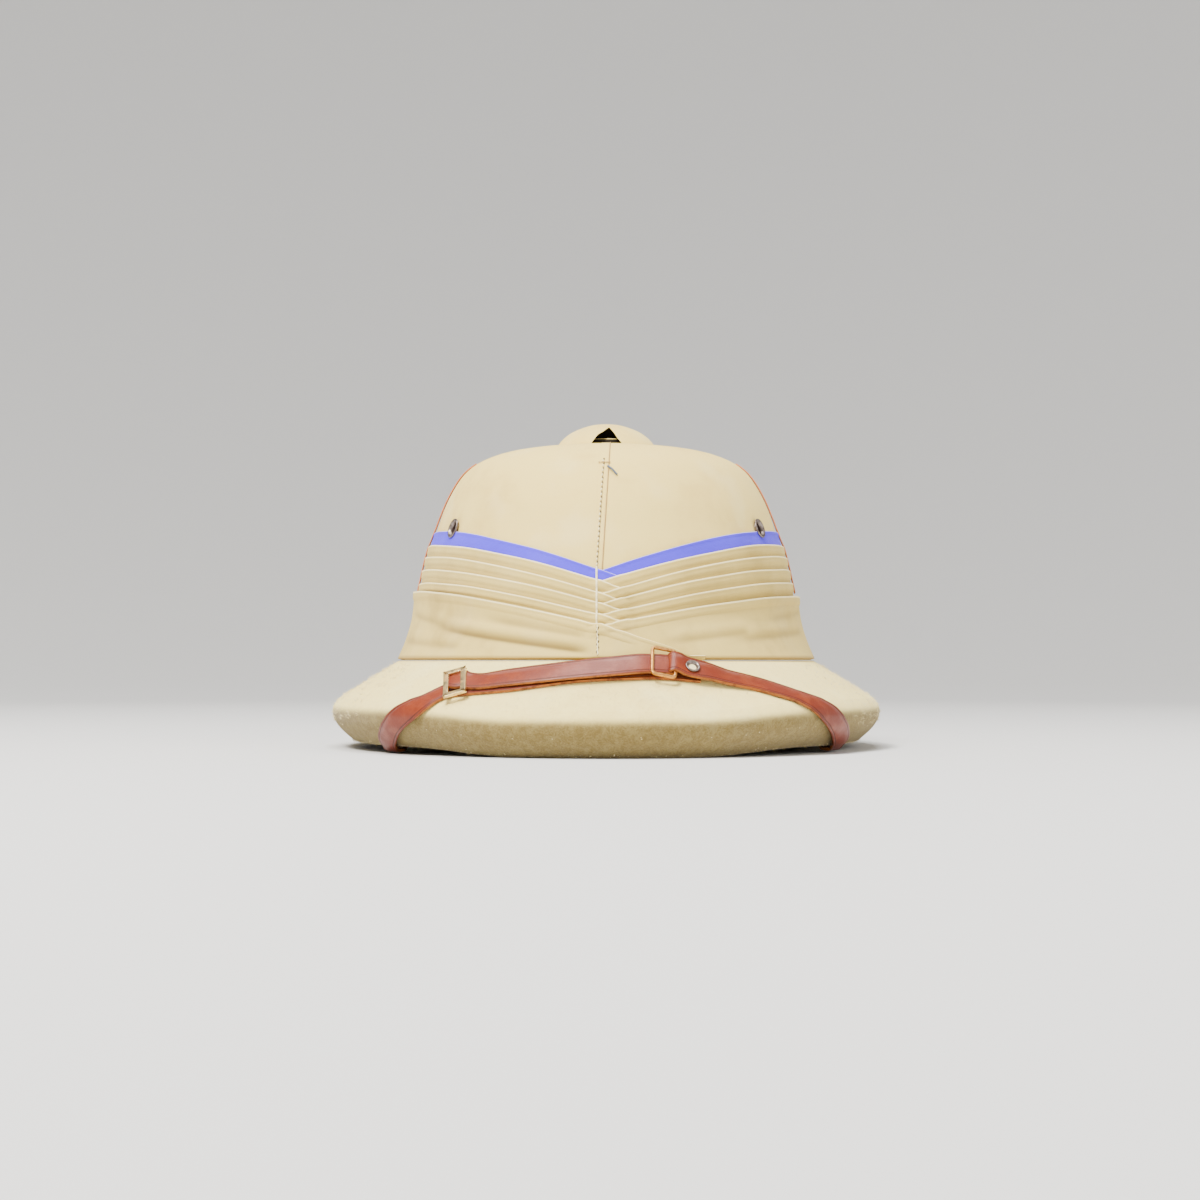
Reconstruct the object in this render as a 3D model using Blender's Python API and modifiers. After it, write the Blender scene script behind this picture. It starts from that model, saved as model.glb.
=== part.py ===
"""A cloth-covered pith helmet with a folded scarf, a ventilator cap and a leather chin strap.

Metres, +Z up. The helmet stands on its rim at z = 0 and its front faces -Y.
An angle runs round the head from the front (0) over the +X side (90 degrees) to the back.
A height is measured up from the hem, where the crown stands on the brim.
"""

import math

import bpy
from mathutils import Matrix, Vector

MM = 0.001

# Crown
HEM_HALF_WIDTH = 110.2 * MM     # the crown's outer half width at the hem
LENGTH_RATIO = 1.25             # the oval's length to its width
HEM_ABOVE_FLOOR = 46.0 * MM
CROWN_HEIGHT = 116.6 * MM
CROWN_WALL = 8.7 * MM
HEAD_HALF_WIDTH = 92.5 * MM     # half width of the hollow for the head
VENT_RADIUS = 12.0 * MM
PIECE_GAP = 0.3 * MM            # clearance between two neighbouring pieces
CROWN_SPAN = 5.0 * MM           # the crown's slope is taken this far above and below a point
BRIM_SPAN = 1.6 * MM
LEAST_STEP = 3.0 * MM           # between two rows of the crown's inside
SIDES = 40                      # facets round the head

# The crown's outside from the hem up, as shares: height of CROWN_HEIGHT, width of HEM_HALF_WIDTH
CROWN_ROWS = (
    # height, half width
    (0.000, 1.000), (0.074, 0.962), (0.180, 0.924), (0.298, 0.905), (0.360, 0.891),
    (0.425, 0.876), (0.498, 0.857), (0.553, 0.838), (0.661, 0.804), (0.746, 0.766),
    (0.823, 0.719), (0.875, 0.676), (0.917, 0.617), (0.954, 0.520), (0.976, 0.381),
    (0.991, 0.200), (1.000, 0.000),
)

# Brim
OVERHANG_FRONT = 36.0 * MM
OVERHANG_SIDE = 37.3 * MM
OVERHANG_REAR = 48.0 * MM
SIDE_LIFT = 3.5 * MM            # how far the brim's lower edge rises towards the sides
REST_HALF_ANGLE = 18.0          # the rim lies flat within this angle of front and back
FULL_LIFT_ANGLE = 45.0
LIP_TUCK = 12.2 * MM            # from the nose of the lip in to its lower edge
LIP_ABOVE_NOSE = 9.4 * MM
LIP_BELOW_NOSE = 15.7 * MM
REST_WIDTH = 4.0 * MM           # flat lower edge
BRIM_INNER_DEPTH = 20.5 * MM    # the head opening's wall in the brim
FOOT_LEDGE = 1.0 * MM           # flat top of the brim outside the crown
OVERHANG_POWER = 2.6

# The lip: share of LIP_TUCK inwards, share of the height above or below the nose
UPPER_LIP = ((0.615, 1.00), (0.262, 0.68), (0.057, 0.32), (0.000, 0.00))
LOWER_LIP = ((0.082, 0.28), (0.311, 0.55), (0.672, 0.82), (1.000, 1.00))

# Scarf: heights of the fold edges above the hem at the sides and at the front
FOLD_POWER = 1.46
BLUE_TOP = (68.2 * MM, 43.5 * MM)
PLEAT_TOPS = (
    (62.9 * MM, 38.9 * MM),
    (55.8 * MM, 33.0 * MM),
    (48.9 * MM, 27.5 * MM),
    (41.4 * MM, 22.0 * MM),
)
WRAP_TOP = (34.5 * MM, 16.5 * MM)
BLUE_THICKNESS = 0.8 * MM
PLEAT_THICKNESS = 1.0 * MM
WRAP_THICKNESS = 2.4 * MM
PLEAT_LAP = 1.5 * MM            # how far a pleat goes on below the next one's edge
BLUE_LAP = 2.2 * MM

# Side strips
STRIP_ANGLE = 85.5
STRIP_WIDTH = 9.0 * MM
STRIP_THICKNESS = 1.2 * MM
STRIP_BELOW_APEX = 10.8 * MM
STRIP_FOOT_GAP = 1.5 * MM
STRIP_DROP = 8.0 * MM           # height in which a strip comes down from the scarf to the crown
STRIP_ROWS = 15

# Ventilator cap
CAP_RADIUS = 26.5 * MM
CAP_RISE = 12.2 * MM
CAP_WALL = 2.5 * MM
CAP_SEAT = 0.6 * MM             # the cap's foot lies this far below the crown's apex
CAP_SIDES = 32
ARCH_WIDTH = 14.7 * MM
ARCH_HEIGHT = 6.6 * MM
# The cap's outside: shares of CAP_RADIUS and CAP_RISE
CAP_ROWS = ((0.00, 1.00), (0.33, 0.93), (0.63, 0.70), (0.82, 0.44), (0.95, 0.17), (1.00, 0.00))

# Eyelets in the crown's wall
VENT_EYELET_ANGLE = 58.0
VENT_EYELET_ABOVE_BAND = 1.4 * MM   # from the blue band's upper edge up to the eyelet's middle
VENT_EYELET_RADIUS = 5.0 * MM
VENT_EYELET_HOLE = 2.6 * MM
VENT_EYELET_RIM = 1.3 * MM
EYELET_WALL = 0.5 * MM
EYELET_SIDES = 16

# Chin strap
STRAP_WIDTH = 14.0 * MM
LEATHER = 1.8 * MM
STRAP_CLEARANCE = 0.45 * MM
STRAP_STEPS = 4                 # points along the strap from one row to the next
SLIDE_LENGTH = 11.0 * MM        # along the strap
SLIDE_WIDTH = 22.5 * MM         # across the strap
SLIDE_BAR = 1.8 * MM
SLIDE_THICKNESS = 1.5 * MM
STRAP_EYELET_RADIUS = 3.4 * MM
STRAP_EYELET_HOLE = 1.7 * MM
STRAP_EYELET_RIM = 0.9 * MM
STUD_RADIUS = 4.5 * MM
STUD_HEAD = 1.5 * MM
STUD_PIN = 1.6 * MM
STUD_DEPTH = 7.0 * MM

# The strap's centre line: angle, place, layer and lean. A place runs from 0 at the hem to 1 at
# the nose, 2 and 3 at the edges of the flat rim, 4 at the head opening and 5 at its top.
# Layer 0 lies on the brim, 1 on the first strap and 2 on a slide; under the brim it hangs looser.
# The lean, in degrees, lifts the edge that is nearer the crown.
UNDER = 0.35
LEAN = 10.0
STRAP_LEFT_ROWS = (
    # angle, place, layer, lean
    (-57.5, 4.55, UNDER, 0), (-57.0, 4.00, UNDER, 0), (-55.0, 3.40, UNDER, 0),
    (-53.2, 3.00, UNDER, 0), (-51.8, 2.10, 0.40, 0), (-50.0, 1.685, 0.50, 0),
    (-45.1, 1.216, 0.40, 0), (-41.1, 0.969, 0.28, 0), (-37.7, 0.847, 0.20, 0),
    (-35.0, 0.633, 0.05, 0), (-32.4, 0.554, 0, 0), (-28.0, 0.50, 0, 0), (-20.0, 0.43, 0, 0),
    (-8.0, 0.31, 0, 0), (2.6, 0.28, 0, 0), (12.4, 0.27, 0, 0), (22.0, 0.34, 0, 0),
)
STRAP_UPPER_ROWS = (
    (-31.0, 0.545, 2, 0), (-29.2, 0.50, 2, 0), (-28.0, 0.475, 1.5, 0), (-26.6, 0.45, 1, 0),
    (-20.4, 0.374, 1, 0.3 * LEAN), (-8.0, 0.225, 1, LEAN), (2.0, 0.185, 1, LEAN),
    (6.4, 0.18, 1, LEAN), (8.0, 0.18, 1.5, LEAN), (9.2, 0.18, 2, LEAN), (11.2, 0.18, 2, LEAN),
)
STRAP_RIGHT_ROWS = (
    (13.4, 0.185, 2, LEAN), (15.4, 0.205, 2, LEAN), (16.3, 0.215, 1.5, LEAN),
    (17.2, 0.225, 1, LEAN), (20.0, 0.265, 1, 0.8 * LEAN), (23.0, 0.305, 1, 0.5 * LEAN),
    (28.0, 0.375, 0.5, 0), (33.1, 0.461, 0, 0), (37.0, 0.606, 0.15, 0), (41.7, 0.80, 0.25, 0),
    (45.5, 0.935, 0.35, 0), (50.4, 1.215, 0.42, 0), (56.2, 1.727, 0.50, 0),
    (57.7, 2.10, UNDER, 0), (59.2, 3.00, UNDER, 0), (61.0, 3.40, UNDER, 0),
    (63.5, 4.00, UNDER, 0), (64.0, 4.55, UNDER, 0),
)
SLIDE_LEFT_ROW = (-32.4, 0.554, 1, 0)
SLIDE_RIGHT_ROW = (12.4, 0.18, 1, LEAN)
STRAP_EYELET_ROW = (18.6, 0.245, 1, LEAN)

# Colours, roughness and metallic value
CREAM_CLOTH = ((0.84, 0.75, 0.56), 0.9, 0.0)
KHAKI_CLOTH = ((0.66, 0.58, 0.39), 0.9, 0.0)
BLUE_CLOTH = ((0.27, 0.25, 0.80), 0.85, 0.0)
TAN_CLOTH = ((0.72, 0.36, 0.18), 0.8, 0.0)
BROWN_LEATHER = ((0.37, 0.09, 0.045), 0.45, 0.0)
BRASS = ((0.70, 0.46, 0.18), 0.35, 1.0)
GREY_METAL = ((0.30, 0.27, 0.24), 0.45, 1.0)

HEAD_CENTRE_Y = (OVERHANG_FRONT - OVERHANG_REAR) / 2
HEM_HALF_LENGTH = LENGTH_RATIO * HEM_HALF_WIDTH
HEAD_CENTRE = Vector((0, HEAD_CENTRE_Y, HEM_ABOVE_FLOOR))


def clear_scene():
    for thing in list(bpy.data.objects):
        bpy.data.objects.remove(thing, do_unlink=True)


def make_collection(name):
    collection = bpy.data.collections.new(name)
    bpy.context.scene.collection.children.link(collection)
    return collection


def make_material(name, finish):
    colour, roughness, metallic = finish
    material = bpy.data.materials.new(name)
    material.use_nodes = True
    shader = material.node_tree.nodes["Principled BSDF"]
    shader.inputs["Base Color"].default_value = (*colour, 1)
    shader.inputs["Roughness"].default_value = roughness
    shader.inputs["Metallic"].default_value = metallic
    return material


def add_object(name, data, finish):
    thing = bpy.data.objects.new(name, data)
    data.materials.append(make_material(name, finish))
    parts.objects.link(thing)
    return thing


def add_mesh(name, points, faces, finish, edges=()):
    mesh = bpy.data.meshes.new(name)
    mesh.from_pydata(points, edges, faces)
    mesh.update()
    return add_object(name, mesh, finish)


def add_solidify(thing, thickness):
    wall = thing.modifiers.new("wall", "SOLIDIFY")
    wall.thickness = thickness
    wall.offset = 1
    thing.data.shade_smooth()


def add_turned(name, profile, sides, finish):
    """A profile of (radius, height) points, from its top down the outside, turned round Z."""
    points = [(radius, 0, height) for radius, height in profile]
    on_axis = profile[0][0] == 0 and profile[-1][0] == 0
    count = len(points)
    edges = [(i, i + 1) for i in range(count - 1)]
    if not on_axis:
        edges.append((count - 1, 0))
    thing = add_mesh(name, points, [], finish, edges)
    screw = thing.modifiers.new("turn", "SCREW")
    screw.steps = sides
    screw.render_steps = sides
    screw.use_merge_vertices = True
    screw.merge_threshold = 0.00001
    return thing


def cut(thing, cutter):
    boolean = thing.modifiers.new("cut", "BOOLEAN")
    boolean.operation = "DIFFERENCE"
    boolean.object = cutter


def add_cutter(name, matrix, vertices, radius, depth):
    bpy.ops.mesh.primitive_cylinder_add(vertices=vertices, radius=radius, depth=depth)
    cutter = bpy.context.object
    cutter.name = name
    cutter.matrix_world = matrix
    cutter.hide_render = True
    cutter.display_type = "WIRE"
    for collection in list(cutter.users_collection):
        collection.objects.unlink(cutter)
    cutters.objects.link(cutter)
    return cutter


def interpolate(pairs, x):
    """Straight lines through (x, y) pairs whose x grows."""
    for (x0, y0), (x1, y1) in zip(pairs, pairs[1:]):
        if x <= x1:
            return y0 + (y1 - y0) * (x - x0) / (x1 - x0)
    return pairs[-1][1]


def smooth_path(rows, per_row):
    """Catmull-Rom points through the rows, per_row of them to each row."""
    path = []
    last = len(rows) - 1
    for index in range(last):
        before = rows[max(index - 1, 0)]
        start, end = rows[index], rows[index + 1]
        after = rows[min(index + 2, last)]
        for step in range(per_row):
            t = step / per_row
            path.append(tuple(
                0.5 * (2 * b + (c - a) * t + (2 * a - 5 * b + 4 * c - d) * t ** 2
                       + (3 * b - a - 3 * c + d) * t ** 3)
                for a, b, c, d in zip(before, start, end, after)
            ))
    path.append(tuple(rows[last]))
    return path


# The crown's surface

def crown_profile():
    """(half width, height) points of the crown's outside, hem to apex."""
    return [(width * HEM_HALF_WIDTH, height * CROWN_HEIGHT) for height, width in CROWN_ROWS]


def crown_half_width(height):
    return interpolate([(h, w) for w, h in crown_profile()], height)


def crown_frame(angle, height, offset=0.0):
    """The point on the crown and the way out of it."""
    theta = math.radians(angle)
    half = crown_half_width(height)
    rise = crown_half_width(height + CROWN_SPAN) - crown_half_width(height - CROWN_SPAN)
    slope = rise / (2 * CROWN_SPAN)
    normal = Vector((LENGTH_RATIO * math.sin(theta), -math.cos(theta), -LENGTH_RATIO * slope))
    normal.normalize()
    place = Vector((half * math.sin(theta), -LENGTH_RATIO * half * math.cos(theta), height))
    return HEAD_CENTRE + place + offset * normal, normal


def fold_height(edge, angle):
    """Height of a fold edge that is level behind and dips to a point at the front."""
    side, front = edge
    theta = math.radians(angle)
    if math.cos(theta) <= 0:
        return side
    return side - (side - front) * (1 - abs(math.sin(theta))) ** FOLD_POWER


# The brim's surface

def overhang(angle):
    turn = math.cos(math.radians(angle))
    end = OVERHANG_FRONT if turn > 0 else OVERHANG_REAR
    return OVERHANG_SIDE + (end - OVERHANG_SIDE) * abs(turn) ** OVERHANG_POWER


def edge_lift(angle):
    low = math.sin(math.radians(REST_HALF_ANGLE))
    high = math.sin(math.radians(FULL_LIFT_ANGLE))
    share = (abs(math.sin(math.radians(angle))) - low) / (high - low)
    share = min(max(share, 0), 1)
    return SIDE_LIFT * share * share * (3 - 2 * share)


def brim_section(angle):
    """(reach, height) points from the hem out, round the lip, under the brim and up inside.

    Also the indices of the points at which a strap place is a whole number.
    """
    reach = overhang(angle)
    rim = edge_lift(angle) - HEM_ABOVE_FLOOR
    nose = rim + LIP_BELOW_NOSE
    inner = HEAD_HALF_WIDTH - HEM_HALF_WIDTH
    points = [(FOOT_LEDGE, -PIECE_GAP)]
    points += [(reach - a * LIP_TUCK, nose + b * LIP_ABOVE_NOSE) for a, b in UPPER_LIP]
    nose_index = len(points) - 1
    points += [(reach - a * LIP_TUCK, nose - b * LIP_BELOW_NOSE) for a, b in LOWER_LIP]
    corner_index = len(points) - 1
    flat_end = reach - LIP_TUCK - REST_WIDTH
    points.append((flat_end, rim))
    inner_bottom = -PIECE_GAP - BRIM_INNER_DEPTH
    rounding = 0.12
    points.append((inner + rounding * (flat_end - inner), inner_bottom + rounding * (rim - inner_bottom)))
    points.append((inner, inner_bottom * (1 - rounding)))
    points.append((inner, -PIECE_GAP))
    return points, (0, nose_index, corner_index, corner_index + 1, corner_index + 2, len(points) - 1)


def brim_place(angle, reach, height):
    theta = math.radians(angle)
    lengthwise = LENGTH_RATIO if reach < 0 else 1
    return HEAD_CENTRE + Vector((
        (HEM_HALF_WIDTH + reach) * math.sin(theta),
        -(HEM_HALF_LENGTH + reach * lengthwise) * math.cos(theta),
        height,
    ))


def brim_arcs(angle):
    points, whole = brim_section(angle)
    arcs = [0.0]
    for a, b in zip(points, points[1:]):
        arcs.append(arcs[-1] + math.dist(a, b))
    return points, arcs, whole


def arc_at(angle, place):
    """Length along the section at a strap place."""
    _, arcs, whole = brim_arcs(angle)
    step = min(int(place), len(whole) - 2)
    start, end = arcs[whole[step]], arcs[whole[step + 1]]
    return start + (end - start) * (place - step)


def brim_point(angle, arc):
    points, arcs, _ = brim_arcs(angle)
    reach = interpolate([(s, p[0]) for s, p in zip(arcs, points)], arc)
    height = interpolate([(s, p[1]) for s, p in zip(arcs, points)], arc)
    return brim_place(angle, reach, height)


def brim_frame(angle, arc):
    """Point, the way round the head, the way outwards over the brim, and the way off it."""
    turn = 1.0
    along = brim_point(angle + turn, arc) - brim_point(angle - turn, arc)
    across = brim_point(angle, arc + BRIM_SPAN) - brim_point(angle, max(arc - BRIM_SPAN, 0))
    rate = along.length / (2 * turn)
    along.normalize()
    across.normalize()
    return brim_point(angle, arc), along, across, across.cross(along).normalized(), rate


# Crown, cap and brim

def make_crown():
    outer = crown_profile()
    vent_height = interpolate([(-w, h) for w, h in outer], -VENT_RADIUS)
    outer = [row for row in outer if row[0] > VENT_RADIUS] + [(VENT_RADIUS, vent_height)]
    inner = [(HEAD_HALF_WIDTH, 0.0)]
    for index in range(1, len(outer) - 1):
        run = outer[index + 1][0] - outer[index - 1][0]
        climb = outer[index + 1][1] - outer[index - 1][1]
        size = math.hypot(run, climb)
        width = min(outer[index][0] - CROWN_WALL * climb / size, HEAD_HALF_WIDTH)
        height = outer[index][1] + CROWN_WALL * run / size
        if height > inner[-1][1] + LEAST_STEP and width > VENT_RADIUS + LEAST_STEP:
            inner.append((width, height))
    inner.append((VENT_RADIUS, vent_height - CROWN_WALL))
    crown = add_turned("crown", outer[::-1] + inner, SIDES, CREAM_CLOTH)
    crown.scale = (1, LENGTH_RATIO, 1)
    crown.location = HEAD_CENTRE
    return crown


def make_cap():
    base = CROWN_HEIGHT - CAP_SEAT
    inner_radius = CAP_RADIUS - CAP_WALL
    inner_rise = CAP_RISE - CAP_WALL
    profile = [(r * CAP_RADIUS, base + h * CAP_RISE) for r, h in CAP_ROWS]
    profile += [(r * inner_radius, base + h * inner_rise) for r, h in reversed(CAP_ROWS)]
    cap = add_turned("ventilator_cap", profile, CAP_SIDES, CREAM_CLOTH)
    cap.location = HEAD_CENTRE
    drop = CAP_WALL
    for turn in (0, 90):
        # a three-sided prism through the whole cap, its point up
        matrix = (
            Matrix.Translation(HEAD_CENTRE + Vector((0, 0, base - drop)))
            @ Matrix.Rotation(math.radians(turn), 4, "Z")
            @ Matrix.Rotation(math.radians(90), 4, "X")
        )
        cutter = add_cutter("arch_%d" % turn, matrix, 3, ARCH_WIDTH, 3 * CAP_RADIUS)
        top = max(v.co.y for v in cutter.data.vertices)
        low = min(v.co.y for v in cutter.data.vertices)
        wide = max(v.co.x for v in cutter.data.vertices)
        scale_up = (ARCH_HEIGHT + drop) / (top - low)
        scale_out = ARCH_WIDTH / 2 / wide * (ARCH_HEIGHT + drop) / ARCH_HEIGHT
        for vertex in cutter.data.vertices:
            vertex.co.x *= scale_out
            vertex.co.y = (vertex.co.y - low) * scale_up
        cut(cap, cutter)
    return cap


def make_brim():
    sections = [brim_section(360 * i / SIDES)[0] for i in range(SIDES)]
    rows = len(sections[0])
    points = [
        brim_place(360 * i / SIDES, reach, height)
        for i, section in enumerate(sections) for reach, height in section
    ]
    faces = []
    for i in range(SIDES):
        j = (i + 1) % SIDES
        for r in range(rows):
            s = (r + 1) % rows
            faces.append((i * rows + r, i * rows + s, j * rows + s, j * rows + r))
    return add_mesh("brim", points, faces, CREAM_CLOTH)


# Scarf

def add_ring_sheet(name, rows_at, thickness, finish):
    """An open band round the crown: rows_at(angle) gives (height, offset) from its foot up."""
    points = []
    for i in range(SIDES):
        angle = 360 * i / SIDES
        rows = rows_at(angle)
        points += [crown_frame(angle, height, offset)[0] for height, offset in rows]
    count = len(rows)
    faces = []
    for i in range(SIDES):
        j = (i + 1) % SIDES
        for r in range(count - 1):
            faces.append((i * count + r, j * count + r, j * count + r + 1, i * count + r + 1))
    band = add_mesh(name, points, faces, finish)
    add_solidify(band, thickness)
    return band


def make_blue_band():
    def rows_at(angle):
        top = fold_height(BLUE_TOP, angle)
        low = fold_height(PLEAT_TOPS[0], angle) - BLUE_LAP
        return [(low, PIECE_GAP), ((low + top) / 2, PIECE_GAP), (top, PIECE_GAP)]
    return add_ring_sheet("blue_band", rows_at, BLUE_THICKNESS, BLUE_CLOTH)


def pleat_offset():
    """A pleat's upper edge clears the foot of the layer above."""
    return PIECE_GAP + PLEAT_THICKNESS + PIECE_GAP


def make_pleat(index):
    over = PLEAT_TOPS[index + 1] if index + 1 < len(PLEAT_TOPS) else WRAP_TOP
    last = index + 1 == len(PLEAT_TOPS)
    foot = pleat_offset() if last else PIECE_GAP

    def rows_at(angle):
        top = fold_height(PLEAT_TOPS[index], angle)
        turn = fold_height(over, angle)
        lap = PLEAT_LAP + PIECE_GAP
        return [(turn - PLEAT_LAP, foot), (turn + PIECE_GAP, foot),
                (top - lap, pleat_offset()), (top, pleat_offset())]
    return add_ring_sheet("pleat_%d" % (index + 1), rows_at, PLEAT_THICKNESS, KHAKI_CLOTH)


def make_wide_wrap():
    outermost = pleat_offset() + PLEAT_THICKNESS + 2 * PIECE_GAP

    def rows_at(angle):
        top = fold_height(WRAP_TOP, angle)
        return [(share * top, PIECE_GAP + (outermost - PIECE_GAP) * share ** 0.6)
                for share in (0.0, 0.25, 0.5, 0.8, 1.0)]
    return add_ring_sheet("wide_wrap", rows_at, WRAP_THICKNESS, KHAKI_CLOTH)


def make_side_strip(name, side):
    """An open strip up the crown, over the scarf, down to the wide wrap."""
    low = WRAP_TOP[0] + STRIP_FOOT_GAP
    top = CROWN_HEIGHT - STRIP_BELOW_APEX
    blue_edge = BLUE_TOP[0]
    over_scarf = pleat_offset() + PLEAT_THICKNESS + 2 * PIECE_GAP
    local_radius = LENGTH_RATIO * crown_half_width(blue_edge)
    spread = math.degrees(STRIP_WIDTH / local_radius) / 2
    points = []
    for i in range(STRIP_ROWS + 1):
        height = low + (top - low) * i / STRIP_ROWS
        share = min(max((height - blue_edge) / STRIP_DROP, 0), 1)
        offset = over_scarf + (PIECE_GAP - over_scarf) * share
        for shift in (-spread, 0, spread):
            points.append(crown_frame(side * STRIP_ANGLE + shift, height, offset)[0])
    faces = []
    for i in range(STRIP_ROWS):
        for c in range(2):
            a = 3 * i + c
            faces.append((a, a + 1, a + 4, a + 3))
    strip = add_mesh(name, points, faces, TAN_CLOTH)
    add_solidify(strip, STRIP_THICKNESS)
    return strip


# Eyelets and studs

def eyelet_profile(radius, hole, rim, depth):
    """A rolled rim on a short tube, the tube running down from z = 0."""
    barrel = hole + EYELET_WALL
    crest = (hole + radius) / 2
    return [(crest, rim), (radius - 0.2 * rim, 0.7 * rim), (radius, 0), (barrel, 0),
            (barrel, -depth), (hole, -depth), (hole, 0.6 * rim)]


def facing(place, normal):
    """A frame at place whose Z points along normal."""
    return Matrix.Translation(place) @ normal.to_track_quat("Z", "Y").to_matrix().to_4x4()


def make_vent_eyelet(name, side, pierced):
    lift = BLUE_THICKNESS + 2 * PIECE_GAP
    height = fold_height(BLUE_TOP, VENT_EYELET_ANGLE) + VENT_EYELET_ABOVE_BAND
    place, normal = crown_frame(side * VENT_EYELET_ANGLE, height, lift)
    depth = lift + CROWN_WALL - 2 * PIECE_GAP
    profile = eyelet_profile(VENT_EYELET_RADIUS, VENT_EYELET_HOLE, VENT_EYELET_RIM, depth)
    eyelet = add_turned(name, profile, EYELET_SIDES, GREY_METAL)
    eyelet.matrix_world = facing(place, normal)
    bore = VENT_EYELET_HOLE + EYELET_WALL + PIECE_GAP
    cutter = add_cutter(name + "_bore", facing(place, normal), EYELET_SIDES, bore, 5 * CROWN_WALL)
    for thing in pierced:
        cut(thing, cutter)
    return eyelet


# Chin strap

def layer_lift(layer):
    first = STRAP_CLEARANCE
    second = first + LEATHER + PIECE_GAP
    third = second + SLIDE_THICKNESS + PIECE_GAP
    return interpolate([(0, first), (1, second), (2, third)], max(layer, 0))


def leaning_lift(layer, lean, out):
    """The lift of a point that lies out, down the slope, from the centre line."""
    return layer_lift(layer) + (SLIDE_WIDTH / 2 - out) * math.sin(math.radians(max(lean, 0)))


def make_strap(name, rows):
    """A flat strap laid along its rows over the brim."""
    path = [
        (angle, arc_at(angle, place), layer, lean)
        for angle, place, layer, lean in smooth_path(rows, STRAP_STEPS)
    ]
    points = []
    for index, (angle, arc, layer, lean) in enumerate(path):
        before = path[max(index - 1, 0)]
        after = path[min(index + 1, len(path) - 1)]
        _, _, _, _, rate = brim_frame(angle, arc)
        run = (after[0] - before[0]) * rate
        climb = after[1] - before[1]
        size = math.hypot(run, climb)
        for share in (-0.5, 0, 0.5):
            shift = share * STRAP_WIDTH * math.cos(math.radians(lean))
            place_angle = angle - shift * climb / size / rate
            place_arc = arc + shift * run / size
            base, _, out, normal, _ = brim_frame(place_angle, max(place_arc, 0))
            base += min(place_arc, 0) * out
            points.append(base + leaning_lift(layer, lean, share * STRAP_WIDTH) * normal)
    faces = []
    for i in range(len(path) - 1):
        for c in range(2):
            a = 3 * i + c
            faces.append((a, a + 1, a + 4, a + 3))
    strap = add_mesh(name, points, faces, BROWN_LEATHER)
    add_solidify(strap, LEATHER)
    return strap


def strap_frame(row, rise):
    """A frame on the strap's route: X to the right along the brim, Z off the strap."""
    angle, place, layer, lean = row
    base, _, _, normal, _ = brim_frame(angle, arc_at(angle, place))
    along = Vector((1, 0, 0))
    along = (along - along.dot(normal) * normal).normalized()
    matrix = Matrix((along, normal.cross(along), normal)).transposed().to_4x4()
    lift = leaning_lift(layer, lean, 0)
    return (
        Matrix.Translation(base + lift * normal) @ matrix
        @ Matrix.Rotation(math.radians(lean), 4, "X") @ Matrix.Translation((0, 0, rise))
    )


def make_slide(name, row):
    """A flat frame that the strap runs through."""
    curve = bpy.data.curves.new(name, "CURVE")
    curve.dimensions = "2D"
    curve.fill_mode = "BOTH"
    curve.extrude = SLIDE_THICKNESS / 2
    for inset in (0, SLIDE_BAR):
        half_x = SLIDE_LENGTH / 2 - inset
        half_y = SLIDE_WIDTH / 2 - inset
        spline = curve.splines.new("POLY")
        spline.points.add(3)
        corners = ((-half_x, -half_y), (half_x, -half_y), (half_x, half_y), (-half_x, half_y))
        for point, (x, y) in zip(spline.points, corners):
            point.co = (x, y, 0, 1)
        spline.use_cyclic_u = True
    slide = add_object(name, curve, BRASS)
    slide.matrix_world = strap_frame(row, SLIDE_THICKNESS / 2)
    return slide


def make_strap_eyelet(strap):
    rise = LEATHER + 2 * PIECE_GAP
    profile = eyelet_profile(STRAP_EYELET_RADIUS, STRAP_EYELET_HOLE, STRAP_EYELET_RIM, rise)
    eyelet = add_turned("strap_eyelet", profile, EYELET_SIDES, BRASS)
    matrix = strap_frame(STRAP_EYELET_ROW, rise)
    eyelet.matrix_world = matrix
    bore = STRAP_EYELET_HOLE + EYELET_WALL + PIECE_GAP
    cut(strap, add_cutter("strap_eyelet_bore", matrix, EYELET_SIDES, bore, 4 * LEATHER))
    return eyelet


def make_stud(name, row, strap, brim):
    """A plain stud through the strap's end into the brim."""
    angle, place, layer, _ = row
    base, _, _, normal, _ = brim_frame(angle, arc_at(angle, place - 0.15))
    lift = layer_lift(layer) + LEATHER + 2 * PIECE_GAP
    matrix = facing(base + lift * normal, normal)
    profile = [(0, STUD_HEAD), (0.7 * STUD_RADIUS, STUD_HEAD), (STUD_RADIUS, 0.5 * STUD_HEAD),
               (STUD_RADIUS, 0), (STUD_PIN, 0), (STUD_PIN, -STUD_DEPTH), (0, -STUD_DEPTH)]
    stud = add_turned(name, profile, EYELET_SIDES, GREY_METAL)
    stud.matrix_world = matrix
    deep = 2 * (STUD_DEPTH + PIECE_GAP)
    cutter = add_cutter(name + "_bore", matrix, EYELET_SIDES, STUD_PIN + PIECE_GAP, deep)
    cut(strap, cutter)
    cut(brim, cutter)
    return stud


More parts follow.
